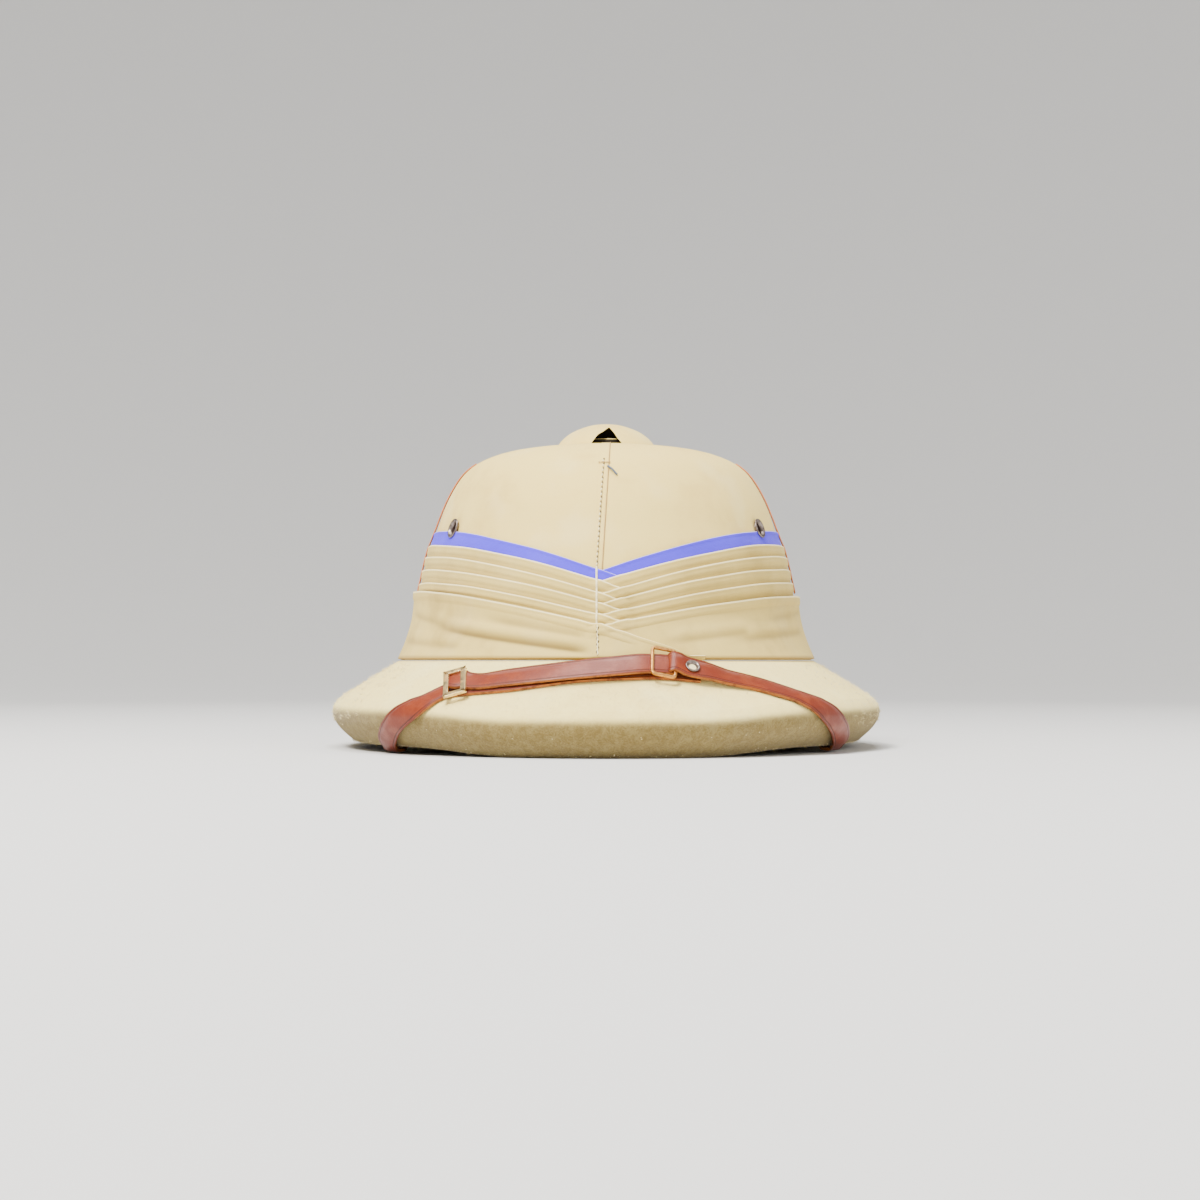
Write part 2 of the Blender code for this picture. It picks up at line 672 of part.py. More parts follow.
clear_scene()
parts = make_collection("pith_helmet")
cutters = make_collection("cutters")
crown = make_crown()
make_cap()
brim = make_brim()
blue_band = make_blue_band()
for pleat in range(len(PLEAT_TOPS)):
    make_pleat(pleat)
make_wide_wrap()
for word, side in (("left", -1), ("right", 1)):
    make_side_strip("side_strip_" + word, side)
    make_vent_eyelet("vent_eyelet_" + word, side, (crown, blue_band))
strap_left = make_strap("strap_left", STRAP_LEFT_ROWS)
make_strap("strap_upper", STRAP_UPPER_ROWS)
strap_right = make_strap("strap_right", STRAP_RIGHT_ROWS)
make_slide("slide_left", SLIDE_LEFT_ROW)
make_slide("slide_right", SLIDE_RIGHT_ROW)
make_strap_eyelet(strap_right)
make_stud("strap_stud_left", STRAP_LEFT_ROWS[0], strap_left, brim)
make_stud("strap_stud_right", STRAP_RIGHT_ROWS[-1], strap_right, brim)
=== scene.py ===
# Pith helmet with a folded scarf and a leather chin strap: cloth, leather, metal, camera and light.
# Metres, +Z up, the front of the helmet towards -Y. Angles run from the front (0) over +X (90).
import math

import bmesh
import bpy
import numpy as np
from mathutils import Matrix, Vector


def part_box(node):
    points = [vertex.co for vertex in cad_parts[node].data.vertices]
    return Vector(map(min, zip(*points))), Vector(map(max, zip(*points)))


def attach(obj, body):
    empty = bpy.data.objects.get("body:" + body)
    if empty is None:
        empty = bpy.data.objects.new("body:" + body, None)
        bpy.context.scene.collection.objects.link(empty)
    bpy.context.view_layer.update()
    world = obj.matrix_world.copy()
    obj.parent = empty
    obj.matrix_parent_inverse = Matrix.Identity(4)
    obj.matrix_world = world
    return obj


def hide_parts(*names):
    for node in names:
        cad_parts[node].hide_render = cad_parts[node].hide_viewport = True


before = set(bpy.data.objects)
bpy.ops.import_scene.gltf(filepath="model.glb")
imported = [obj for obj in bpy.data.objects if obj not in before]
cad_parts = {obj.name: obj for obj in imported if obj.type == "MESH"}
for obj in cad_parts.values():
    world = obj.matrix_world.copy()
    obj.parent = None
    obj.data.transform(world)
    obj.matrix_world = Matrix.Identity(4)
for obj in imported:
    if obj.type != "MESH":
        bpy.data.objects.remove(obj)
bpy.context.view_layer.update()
bpy.ops.object.select_all(action="DESELECT")
print("frame loaded")

mm = 0.001


# Form of the crown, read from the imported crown

crownForm = {
    "height": 116.6 * mm,          # hem to apex
    "wall": 8.7 * mm,
    "hollow": 92.5 * mm,           # half width of the head's hollow
    "vent": 12.0 * mm,
    # outside, from the hem up: share of the height, share of the hem's half width
    "rows": (
        (0.000, 1.000), (0.074, 0.962), (0.180, 0.924), (0.298, 0.905), (0.360, 0.891),
        (0.425, 0.876), (0.498, 0.857), (0.553, 0.838), (0.661, 0.804), (0.746, 0.766),
        (0.823, 0.719), (0.870, 0.676), (0.908, 0.617), (0.942, 0.520), (0.965, 0.381),
        (0.984, 0.200), (0.994, 0.000),
    ),
}

crownLow, crownHigh = (Vector(corner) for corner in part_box("crown"))
brimLow, brimHigh = (Vector(corner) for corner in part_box("brim"))
hemWidth = crownHigh.x
hemLength = (crownHigh.y - crownLow.y) / 2
lengthRatio = hemLength / hemWidth
hemZ = crownLow.z
headY = (crownHigh.y + crownLow.y) / 2


def catmull(points, steps):
    # smooth points through the given ones, steps to each
    points = [np.array(p, float) for p in points]
    line = []
    for i in range(len(points) - 1):
        a, b, c = points[max(i - 1, 0)], points[i], points[i + 1]
        d = points[min(i + 2, len(points) - 1)]
        for s in range(steps):
            t = s / steps
            line.append(0.5 * (2 * b + (c - a) * t + (2 * a - 5 * b + 4 * c - d) * t ** 2
                               + (3 * b - a - 3 * c + d) * t ** 3))
    line.append(points[-1])
    return np.array(line)


crownLine = catmull([(h * crownForm["height"], w * hemWidth) for h, w in crownForm["rows"]], 8)


def smoothStep(x):
    x = np.clip(x, 0, 1)
    return x * x * (3 - 2 * x)


def crownPlace(angle, height, offset):
    # points off the crown's outside; angle in degrees, height above the hem
    turn = np.radians(angle)
    half = np.interp(height, crownLine[:, 0], crownLine[:, 1])
    span = 4 * mm
    slope = (np.interp(height + span, crownLine[:, 0], crownLine[:, 1])
             - np.interp(height - span, crownLine[:, 0], crownLine[:, 1])) / (2 * span)
    normal = np.stack([lengthRatio * np.sin(turn), -np.cos(turn), -lengthRatio * slope], -1)
    normal /= np.linalg.norm(normal, axis=-1, keepdims=True)
    point = np.stack([half * np.sin(turn), headY - lengthRatio * half * np.cos(turn),
                      hemZ + height], -1)
    return point + normal * np.asarray(offset)[..., None]


# Form of the brim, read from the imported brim

brimForm = {
    "overhangPower": 2.6,
    "sideLift": 3.5 * mm,
    "flatTo": 18.0,                # degrees from front and back
    "liftedAt": 45.0,
    "tuck": 12.2 * mm,
    "aboveNose": 9.4 * mm,
    "belowNose": 15.7 * mm,
    "restWidth": 4.0 * mm,
    "innerDepth": 20.5 * mm,
    "ledge": 1.0 * mm,
    "gap": 0.3 * mm,
    "upperLip": ((0.615, 1.00), (0.262, 0.68), (0.057, 0.32), (0.000, 0.00)),
    "lowerLip": ((0.082, 0.28), (0.311, 0.55), (0.672, 0.82), (1.000, 1.00)),
}
reachFront = crownLow.y - brimLow.y
reachRear = brimHigh.y - crownHigh.y
reachSide = brimHigh.x - crownHigh.x - 1.3 * mm


def brimSection(angle):
    # (reach, height) points from the hem out, round the lip, under the brim and up inside
    f = brimForm
    turn = math.radians(angle)
    end = reachFront if math.cos(turn) > 0 else reachRear
    reach = reachSide + (end - reachSide) * abs(math.cos(turn)) ** f["overhangPower"]
    low = math.sin(math.radians(f["flatTo"]))
    high = math.sin(math.radians(f["liftedAt"]))
    lift = f["sideLift"] * float(smoothStep((abs(math.sin(turn)) - low) / (high - low)))
    rim = lift - hemZ
    nose = rim + f["belowNose"]
    inner = crownForm["hollow"] - hemWidth
    points = [(f["ledge"], -f["gap"])]
    points += [(reach - a * f["tuck"], nose + b * f["aboveNose"]) for a, b in f["upperLip"]]
    whole = [0, len(points) - 1]
    points += [(reach - a * f["tuck"], nose - b * f["belowNose"]) for a, b in f["lowerLip"]]
    whole.append(len(points) - 1)
    flatEnd = reach - f["tuck"] - f["restWidth"]
    points.append((flatEnd, rim))
    bottom = -f["gap"] - f["innerDepth"]
    points.append((inner + 0.12 * (flatEnd - inner), bottom + 0.12 * (rim - bottom)))
    points.append((inner, bottom * 0.88))
    points.append((inner, -f["gap"]))
    whole += [whole[2] + 1, whole[2] + 2, len(points) - 1]
    return points, whole


def brimPlace(angle, reach, height):
    turn = math.radians(angle)
    lengthwise = lengthRatio if reach < 0 else 1
    return Vector(((hemWidth + reach) * math.sin(turn),
                   headY - (hemLength + reach * lengthwise) * math.cos(turn), hemZ + height))


def brimArcs(angle):
    points, whole = brimSection(angle)
    points = np.array(points)
    arcs = np.concatenate([[0], np.cumsum(np.linalg.norm(np.diff(points, axis=0), axis=1))])
    return points, arcs, whole


def arcAt(angle, place):
    # length along the section at a place: 1 is the nose, 2 and 3 the flat rim, 4 the opening
    points, arcs, whole = brimArcs(angle)
    step = min(int(place), len(whole) - 2)
    return arcs[whole[step]] + (arcs[whole[step + 1]] - arcs[whole[step]]) * (place - step)


def brimPoint(angle, arc):
    points, arcs, whole = brimArcs(angle)
    return brimPlace(angle, float(np.interp(arc, arcs, points[:, 0])),
                     float(np.interp(arc, arcs, points[:, 1])))


def brimFrame(angle, arc, span=2.2 * mm):
    # point, the way off the brim, and metres for each degree
    along = brimPoint(angle + 1, arc) - brimPoint(angle - 1, arc)
    across = brimPoint(angle, arc + span) - brimPoint(angle, max(arc - span, 0))
    rate = along.length / 2
    return brimPoint(angle, arc), across.normalized().cross(along.normalized()).normalized(), rate


# Modelling helpers

def finishPiece(piece, material, replaced=()):
    piece.data.materials.clear()
    for item in material if isinstance(material, (list, tuple)) else [material]:
        piece.data.materials.append(item)
    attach(piece, "root")
    if replaced:
        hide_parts(*replaced)
    piece.select_set(False)
    return piece


def applyModifier(piece, kind, **settings):
    bpy.context.view_layer.objects.active = piece
    modifier = piece.modifiers.new(kind, kind)
    for key, value in settings.items():
        setattr(modifier, key, value)
    bpy.ops.object.modifier_apply(modifier=modifier.name)


def softenEdges(piece, width, angle=50, segments=2):
    applyModifier(piece, "BEVEL", width=width, segments=segments, limit_method="ANGLE",
                  angle_limit=math.radians(angle))


def nameActive(name):
    piece = bpy.context.object
    piece.name = name
    piece.data.name = name
    return piece


def bakePlace(piece):
    # puts the object's place into its mesh
    bpy.ops.object.select_all(action="DESELECT")
    piece.select_set(True)
    bpy.context.view_layer.objects.active = piece
    bpy.ops.object.transform_apply(location=True, rotation=True, scale=True)
    piece.select_set(False)


def editAll(piece):
    bpy.context.view_layer.objects.active = piece
    bpy.ops.object.mode_set(mode="EDIT")
    bpy.ops.mesh.select_all(action="SELECT")


def extrudeBy(step):
    bpy.ops.mesh.extrude_region_move(TRANSFORM_OT_translate={"value": step})


def outwardNormals(piece):
    editAll(piece)
    bpy.ops.mesh.remove_doubles(threshold=0.000004)
    bpy.ops.mesh.normals_make_consistent(inside=False)
    bpy.ops.object.mode_set(mode="OBJECT")


def turnRows(name, rows, sides, closed=True):
    # a circle extruded through rows of (radius, height), as on a lathe
    bpy.ops.object.select_all(action="DESELECT")
    bpy.ops.mesh.primitive_circle_add(vertices=sides, radius=rows[0][0],
                                      location=(0, 0, rows[0][1]), fill_type="NOTHING")
    piece = nameActive(name)
    bakePlace(piece)
    piece.select_set(True)
    editAll(piece)
    radius, height = rows[0]
    for nextRadius, nextHeight in rows[1:]:
        extrudeBy((0, 0, nextHeight - height))
        if nextRadius == 0:
            bpy.ops.mesh.merge(type="CENTER")
            break
        grow = nextRadius / radius
        bpy.ops.transform.resize(value=(grow, grow, 1), center_override=(0, 0, nextHeight))
        radius, height = nextRadius, nextHeight
    bpy.ops.object.mode_set(mode="OBJECT")
    if closed:
        outwardNormals(piece)
    return piece


def smoothShade(piece, angle=35):
    bpy.ops.object.select_all(action="DESELECT")
    piece.select_set(True)
    bpy.context.view_layer.objects.active = piece
    bpy.ops.object.shade_smooth_by_angle(angle=math.radians(angle))
    piece.select_set(False)


def layGrid(name, along, across, flat, place):
    # a flat cloth grid of the cut size flat, laid by place(u, v) with u and v from 0 to 1
    bpy.ops.object.select_all(action="DESELECT")
    bpy.ops.mesh.primitive_grid_add(x_subdivisions=along, y_subdivisions=across, size=1,
                                    location=(0, 0, 0), calc_uvs=True)
    piece = nameActive(name)
    count = len(piece.data.vertices)
    points = np.empty(count * 3)
    piece.data.vertices.foreach_get("co", points)
    points = points.reshape(-1, 3)
    u, v = points[:, 0] + 0.5, points[:, 1] + 0.5
    piece.data.vertices.foreach_set("co", place(u, v).ravel())
    uv = piece.data.uv_layers.active.data
    flatUv = np.empty(len(uv) * 2)
    uv.foreach_get("uv", flatUv)
    flatUv = flatUv.reshape(-1, 2) * np.array(flat)
    uv.foreach_set("uv", flatUv.ravel())
    edge = piece.data.attributes.new("across", "FLOAT", "POINT")
    edge.data.foreach_set("value", v)
    piece.data.update()
    return piece


def layThread(name, points, radius, sides=3):
    # a thread or cord: a curve through the points, made a closed tube
    bpy.ops.object.select_all(action="DESELECT")
    bpy.ops.curve.primitive_bezier_curve_add(location=(0, 0, 0))
    piece = nameActive(name)
    piece.data.splines.clear()
    spline = piece.data.splines.new("POLY")
    spline.points.add(len(points) - 1)
    for target, point in zip(spline.points, points):
        target.co = (point[0], point[1], point[2], 1)
    piece.data.bevel_depth = radius
    piece.data.bevel_resolution = sides
    piece.data.use_fill_caps = True
    bpy.ops.object.convert(target="MESH")
    piece = nameActive(name)
    outwardNormals(piece)
    smoothShade(piece, 70)
    return piece


def scatter(piece, matrices):
    # copies the piece's small closed mesh to every matrix, as one mesh
    seed = piece.data
    corners = np.array([[*vertex.co, 1.0] for vertex in seed.vertices])
    faces = [tuple(polygon.vertices) for polygon in seed.polygons]
    points = np.concatenate([corners @ np.array(matrix).T for matrix in matrices])[:, :3]
    size = len(corners)
    wholeFaces = [tuple(index + size * copy for index in face)
                  for copy in range(len(matrices)) for face in faces]
    mesh = bpy.data.meshes.new(piece.name)
    mesh.from_pydata(points.tolist(), [], wholeFaces)
    piece.data = mesh
    for polygon in mesh.polygons:
        polygon.use_smooth = True
    bpy.data.meshes.remove(seed)
    return piece


def pointing(point, along, up):
    # a matrix at the point with X along and Z nearest to up
    along = Vector(along).normalized()
    side = Vector(up).cross(along).normalized()
    turn = Matrix((along, side, along.cross(side))).transposed().to_4x4()
    return Matrix.Translation(Vector(point)) @ turn


def sewStitches(name, lines, length, radius):
    # one small closed capsule for each (middle, along, off) of a row of stitches
    bpy.ops.mesh.primitive_uv_sphere_add(segments=8, ring_count=5, radius=1, location=(0, 0, 0))
    piece = nameActive(name)
    size = Matrix.Diagonal((length / 2, radius, radius, 1))
    return scatter(piece, [pointing(*line) @ size for line in lines])


def boreHole(piece, matrix, radius, depth):
    # a round hole along the matrix's Z
    bpy.ops.object.select_all(action="DESELECT")
    bpy.ops.mesh.primitive_cylinder_add(vertices=28, radius=radius, depth=depth, location=(0, 0, 0))
    cutter = nameActive("holeCutter")
    cutter.matrix_world = matrix
    bakePlace(cutter)
    applyModifier(piece, "BOOLEAN", operation="DIFFERENCE", object=cutter)
    bpy.data.objects.remove(cutter)


def declareSheet(piece):
    # a cut cloth piece: the area of one face of the made piece is measured and not used further
    mesh = bmesh.new()
    mesh.from_mesh(piece.data)
    area = sum(face.calc_area() for face in mesh.faces) / 2
    mesh.free()


def waves(seed, count, low, high):
    # a smooth repeatable ripple of one variable, about -1 to 1
    random = np.random.RandomState(seed)
    tones = [(random.uniform(low, high), random.uniform(0, 2 * math.pi), random.uniform(0.5, 1))
             for _ in range(count)]
    total = sum(size for _, _, size in tones)
    return lambda x: sum(size * np.sin(x * pace + start) for pace, start, size in tones) / total


# Shader groups

def newGroup(name, inputs, outputs):
    group = bpy.data.node_groups.new(name, "ShaderNodeTree")
    for label, kind, value in inputs:
        socket = group.interface.new_socket(label, in_out="INPUT", socket_type=kind)
        if value is not None:
            socket.default_value = value
    for label, kind in outputs:
        group.interface.new_socket(label, in_out="OUTPUT", socket_type=kind)
    start = group.nodes.new("NodeGroupInput")
    end = group.nodes.new("NodeGroupOutput")
    return group, start, end


class Wiring:
    # short ways to add nodes to a tree

    def __init__(self, tree):
        self.tree = tree

    def put(self, node, label, value):
        socket = node.inputs[label]
        if isinstance(value, bpy.types.NodeSocket):
            self.tree.links.new(value, socket)
        else:
            socket.default_value = value

    def math(self, operation, a, b=0.0, c=None, clamp=False):
        node = self.tree.nodes.new("ShaderNodeMath")
        node.operation = operation
        node.use_clamp = clamp
        self.put(node, 0, a)
        self.put(node, 1, b)
        if c is not None:
            self.put(node, 2, c)
        return node.outputs[0]

    def times(self, a, b):
        return self.math("MULTIPLY", a, b)

    def mix(self, factor, a, b):
        node = self.tree.nodes.new("ShaderNodeMix")
        node.data_type = "RGBA"
        self.put(node, 0, factor)
        self.put(node, 6, a)
        self.put(node, 7, b)
        return node.outputs[2]

    def noise(self, vector, scale, detail=3.0, roughness=0.55):
        node = self.tree.nodes.new("ShaderNodeTexNoise")
        self.put(node, "Vector", vector)
        self.put(node, "Scale", scale)
        node.inputs["Detail"].default_value = detail
        node.inputs["Roughness"].default_value = roughness
        return node.outputs["Fac"]

    def ramp(self, value, low, high, start=0.0, end=1.0):
        node = self.tree.nodes.new("ShaderNodeMapRange")
        node.interpolation_type = "SMOOTHSTEP"
        self.put(node, "Value", value)
        self.put(node, "From Min", low)
        self.put(node, "From Max", high)
        self.put(node, "To Min", start)
        self.put(node, "To Max", end)
        return node.outputs["Result"]

    def scaled(self, vector, factors):
        node = self.tree.nodes.new("ShaderNodeMapping")
        self.put(node, "Vector", vector)
        node.inputs["Scale"].default_value = factors
        return node.outputs[0]

    def group(self, group, **values):
        node = self.tree.nodes.new("ShaderNodeGroup")
        node.node_tree = group
        for label, value in values.items():
            self.put(node, label, value)
        return node

    def bump(self, height, strength, distance, normal=None):
        node = self.tree.nodes.new("ShaderNodeBump")
        node.inputs["Strength"].default_value = strength
        node.inputs["Distance"].default_value = distance
        self.put(node, "Height", height)
        if normal is not None:
            self.put(node, "Normal", normal)
        return node.outputs[0]


def makeWeaveGroup():
    # plain weave: threads over and under each other, from a flat vector in metres
    group, start, end = newGroup(
        "plainWeave",
        [("Vector", "NodeSocketVector", None), ("Threads", "NodeSocketFloat", 1800.0),
         ("Slub", "NodeSocketFloat", 0.3)],
        [("Height", "NodeSocketFloat"), ("Gap", "NodeSocketFloat"), ("Tone", "NodeSocketFloat")])
    w = Wiring(group)
    wobble = w.noise(start.outputs["Vector"], 260.0, 2.0)
    split = group.nodes.new("ShaderNodeSeparateXYZ")
    w.put(split, 0, start.outputs["Vector"])
    shift = w.times(w.math("SUBTRACT", wobble, 0.5), start.outputs["Slub"])
    u = w.math("ADD", w.times(split.outputs[0], start.outputs["Threads"]), shift)
    v = w.math("ADD", w.times(split.outputs[1], start.outputs["Threads"]), shift)
    warp = w.math("ABSOLUTE", w.math("SINE", w.times(u, math.pi)))
    weft = w.math("ABSOLUTE", w.math("SINE", w.times(v, math.pi)))
    cells = w.math("ADD", w.math("FLOOR", u), w.math("FLOOR", v))
    over = w.math("FLOORED_MODULO", cells, 2.0)
    warpHigh = w.times(warp, w.math("MULTIPLY_ADD", weft, 0.35, 0.65))
    weftHigh = w.times(weft, w.math("MULTIPLY_ADD", warp, 0.35, 0.65))
    under = w.math("SUBTRACT", 1.0, over)
    height = w.math("ADD", w.times(warpHigh, over), w.times(weftHigh, under))
    stretch = w.scaled(start.outputs["Vector"], (60, 1400, 1))
    streak = w.noise(stretch, 1.0, 3.0)
    group.links.new(height, end.inputs["Height"])
    group.links.new(w.math("SUBTRACT", 1.0, height), end.inputs["Gap"])
    group.links.new(streak, end.inputs["Tone"])
    return group


def makeClothToneGroup():
    # cloth colour that fades and yellows in blotches, with fine flecks
    group, start, end = newGroup(
        "clothTone",
        [("Vector", "NodeSocketVector", None), ("Cloth", "NodeSocketColor", None),
         ("Stain", "NodeSocketColor", None), ("Faded", "NodeSocketColor", None),
         ("Amount", "NodeSocketFloat", 0.4)],
        [("Color", "NodeSocketColor")])
    w = Wiring(group)
    blotch = w.ramp(w.noise(start.outputs["Vector"], 21.0, 4.0, 0.6), 0.48, 0.72)
    pale = w.ramp(w.noise(start.outputs["Vector"], 34.0, 3.0, 0.5), 0.50, 0.75)
    fleck = w.ramp(w.noise(start.outputs["Vector"], 900.0, 2.0, 0.7), 0.58, 0.75)
    colour = w.mix(w.times(blotch, start.outputs["Amount"]),
                   start.outputs["Cloth"], start.outputs["Stain"])
    colour = w.mix(w.times(pale, start.outputs["Amount"]), colour,
                   start.outputs["Faded"])
    colour = w.mix(w.times(fleck, 0.16), colour, start.outputs["Stain"])
    group.links.new(colour, end.inputs["Color"])
    return group


def makeNapGroup():
    # brushed nap: short matted fibres
    group, start, end = newGroup(
        "brushedNap",
        [("Vector", "NodeSocketVector", None), ("Size", "NodeSocketFloat", 700.0)],
        [("Height", "NodeSocketFloat"), ("Tone", "NodeSocketFloat")])
    w = Wiring(group)
    bend = group.nodes.new("ShaderNodeTexNoise")   # bends the fibres
    w.put(bend, "Vector", start.outputs["Vector"])
    bend.inputs["Scale"].default_value = 180.0
    shifted = group.nodes.new("ShaderNodeVectorMath")
    shifted.operation = "MULTIPLY_ADD"
    w.put(shifted, 0, bend.outputs["Color"])
    shifted.inputs[1].default_value = (0.004, 0.004, 0.004)
    w.put(shifted, 2, start.outputs["Vector"])
    fine = w.noise(shifted.outputs[0], start.outputs["Size"], 4.0, 0.7)
    coarse = w.noise(shifted.outputs[0], w.times(start.outputs["Size"], 0.22), 3.0, 0.6)
    height = w.math("MULTIPLY_ADD", coarse, 0.6, w.times(fine, 0.6))
    group.links.new(height, end.inputs["Height"])
    group.links.new(w.ramp(coarse, 0.35, 0.7), end.inputs["Tone"])
    return group


def makeWearGroup():
    # rubbed and dirty patches for leather and metal
    group, start, end = newGroup(
        "rubbedWear",
        [("Vector", "NodeSocketVector", None), ("Size", "NodeSocketFloat", 120.0)],
        [("Rub", "NodeSocketFloat"), ("Grain", "NodeSocketFloat"), ("Scratch", "NodeSocketFloat")])
    w = Wiring(group)
    rub = w.ramp(w.noise(start.outputs["Vector"], start.outputs["Size"], 4.0, 0.6), 0.42, 0.68)
    grain = group.nodes.new("ShaderNodeTexVoronoi")
    w.put(grain, "Vector", start.outputs["Vector"])
    w.put(grain, "Scale", w.times(start.outputs["Size"], 9.0))
    lines = w.scaled(start.outputs["Vector"], (1.0, 14.0, 1.0))
    fine = w.noise(lines, w.times(start.outputs["Size"], 2.0), 3.0, 0.7)
    scratch = w.ramp(fine, 0.60, 0.70)
    group.links.new(rub, end.inputs["Rub"])
    group.links.new(grain.outputs["Distance"], end.inputs["Grain"])
    group.links.new(scratch, end.inputs["Scratch"])
    return group


weaveGroup = makeWeaveGroup()
toneGroup = makeClothToneGroup()
napGroup = makeNapGroup()
wearGroup = makeWearGroup()


def newMaterial(name, roughness, metallic=0.0, **constants):
    material = bpy.data.materials.new(name)
    material.use_nodes = True
    shader = material.node_tree.nodes["Principled BSDF"]
    shader.inputs["Roughness"].default_value = roughness
    shader.inputs["Metallic"].default_value = metallic
    for label, value in constants.items():
        shader.inputs[label.replace("_", " ")].default_value = value
    return material, Wiring(material.node_tree), shader


def coordinates(w, kind="Object"):
    node = w.tree.nodes.new("ShaderNodeTexCoord")
    return node.outputs[kind]


def attribute(w, name):
    node = w.tree.nodes.new("ShaderNodeAttribute")
    node.attribute_name = name
    return node.outputs["Fac"]


def sRgb(red, green, blue):
    # a colour given as it looks on screen, 0 to 255
    values = [c / 255 for c in (red, green, blue)]
    return tuple(c / 12.92 if c <= 0.04045 else ((c + 0.055) / 1.055) ** 2.4 for c in values) + (1,)


def wovenMaterial(name, look):
    # woven cotton: tone and weave; where the piece has a fold edge, a painted highlight along its
    # crest, painted shade where it tucks under the next layer and painted shade in the wide wrap's
    # folds
    material, w, shader = newMaterial(name, look["roughness"], Sheen_Weight=look["sheen"],
                                      Sheen_Roughness=0.5, Specular_IOR_Level=0.25)
    vector = coordinates(w)
    tone = w.group(toneGroup, Vector=vector, Cloth=look["cloth"], Stain=look["stainAndShade"],
                   Faded=look["faded"], Amount=look["blotches"])
    weave = w.group(weaveGroup, Vector=coordinates(w, "UV"), Threads=look["threads"],
                    Slub=look["slub"])
    colour = w.mix(w.times(weave.outputs["Gap"], look["gapShade"]),
                   tone.outputs["Color"], look["stainAndShade"])
    colour = w.mix(w.times(weave.outputs["Tone"], 0.25), colour, look["faded"])
    if look.get("foldEdge"):
        across = attribute(w, "across")
        # painted shade: where a layer tucks under the next one, and along the wide wrap's hem, the
        # colour is darkened towards the stain colour
        tucked = w.ramp(across, look["shadeFrom"], look["shadeTo"], 1.0, 0.0)
        colour = w.mix(w.times(tucked, look["shade"]), colour, look["stainAndShade"])
        # painted highlight: the fold's crest is lightened towards the edge colour as if catching
        # the light, patchy like a bleached worn crease
        wearAndHighlight = w.math("MULTIPLY_ADD", w.noise(vector, 150.0, 2.0), 0.5, 0.65, clamp=True)
        crest = w.ramp(across, look["foldEdge"], min(look["foldEdge"] + look["edgeSpan"], 0.999))
        colour = w.mix(w.times(crest, wearAndHighlight), colour, look["edge"])
        # painted shade: the hollows under the wide wrap's slanting folds are darkened towards the
        # deep colour
        colour = w.mix(w.times(attribute(w, "shaded"), 0.8), colour, look["deep"])
    w.put(shader, "Base Color", colour)
    nap = w.group(napGroup, Vector=vector, Size=900.0)
    low = w.bump(nap.outputs["Height"], 0.35, 0.0003)
    w.put(shader, "Normal", w.bump(weave.outputs["Height"], look["relief"], 0.00012, low))
    return material


# the stain colour serves both the cloth's real stains and painted shade; edge is a painted
# highlight for a fold's crest, deep a painted shade for the wide wrap's folds
cream = {"cloth": sRgb(242, 214, 120), "stainAndShade": sRgb(206, 166, 76), "faded": sRgb(244, 224, 156)}
khaki = {"cloth": sRgb(220, 194, 108), "stainAndShade": sRgb(152, 120, 52), "faded": sRgb(224, 202, 132),
         "edge": sRgb(250, 234, 176), "deep": sRgb(112, 88, 42)}

# shadeFrom, shadeTo and shade set painted shade: on a pleat where it tucks under the next layer, on
# the wide wrap along its hem
crownCloth = wovenMaterial("crownCloth", dict(
    cream, roughness=0.9, sheen=0.08, blotches=0.45, threads=1500.0, slub=0.5, gapShade=0.14,
    relief=0.45))
foldCloth = wovenMaterial("foldCloth", dict(
    khaki, roughness=0.88, sheen=0.08, blotches=0.35, threads=1700.0, slub=0.6, gapShade=0.14,
    relief=0.4, foldEdge=0.925, edgeSpan=0.03, shadeFrom=0.22, shadeTo=0.68, shade=0.55))
wrapCloth = wovenMaterial("wrapCloth", dict(
    khaki, roughness=0.88, sheen=0.08, blotches=0.45, threads=1700.0, slub=0.6, gapShade=0.14,
    relief=0.4, foldEdge=0.972, edgeSpan=0.012, shadeFrom=0.0, shadeTo=0.06, shade=0.8))
blueCloth = wovenMaterial("blueCloth", {
    "cloth": sRgb(80, 50, 246), "stainAndShade": sRgb(58, 34, 206), "faded": sRgb(100, 78, 250),
    "roughness": 0.85, "sheen": 0.08, "blotches": 0.35, "threads": 1400.0, "slub": 0.6,
    "gapShade": 0.25, "relief": 0.5, "foldEdge": 0.968, "edgeSpan": 0.02,
    "edge": sRgb(196, 186, 232), "deep": sRgb(40, 30, 150), "shadeFrom": 0.1, "shadeTo": 0.4,
    "shade": 0.2})
tapeCloth = wovenMaterial("tapeCloth", {
    "cloth": sRgb(216, 128, 76), "stainAndShade": sRgb(170, 84, 44), "faded": sRgb(230, 156, 108),
    "roughness": 0.8, "sheen": 0.08, "blotches": 0.3, "threads": 1300.0, "slub": 0.4,
    "gapShade": 0.3, "relief": 0.6})


def makeThreadMaterial(name, colour, dark):
    # twisted sewing thread: darker in rubbed patches, with a grainy bump
    material, w, shader = newMaterial(name, 0.75, Sheen_Weight=0.1)
    wear = w.group(wearGroup, Vector=coordinates(w), Size=500.0)
    w.put(shader, "Base Color", w.mix(w.times(wear.outputs["Rub"], 0.5), colour, dark))
    w.put(shader, "Normal", w.bump(wear.outputs["Grain"], 0.4, 0.0001))
    return material


creamThread = makeThreadMaterial("creamThread", sRgb(250, 238, 190), sRgb(222, 200, 140))
darkThreadAndHoleShade = makeThreadMaterial("darkThreadAndHoleShade", sRgb(104, 88, 54), sRgb(66, 54, 32))
# this thread colour serves the cross stitch and the painted shade line along the crown seam
seamThreadAndShade = makeThreadMaterial("seamThreadAndShade", sRgb(176, 138, 78), sRgb(146, 108, 56))
greyThread = makeThreadMaterial("greyThread", sRgb(92, 104, 118), sRgb(58, 66, 78))


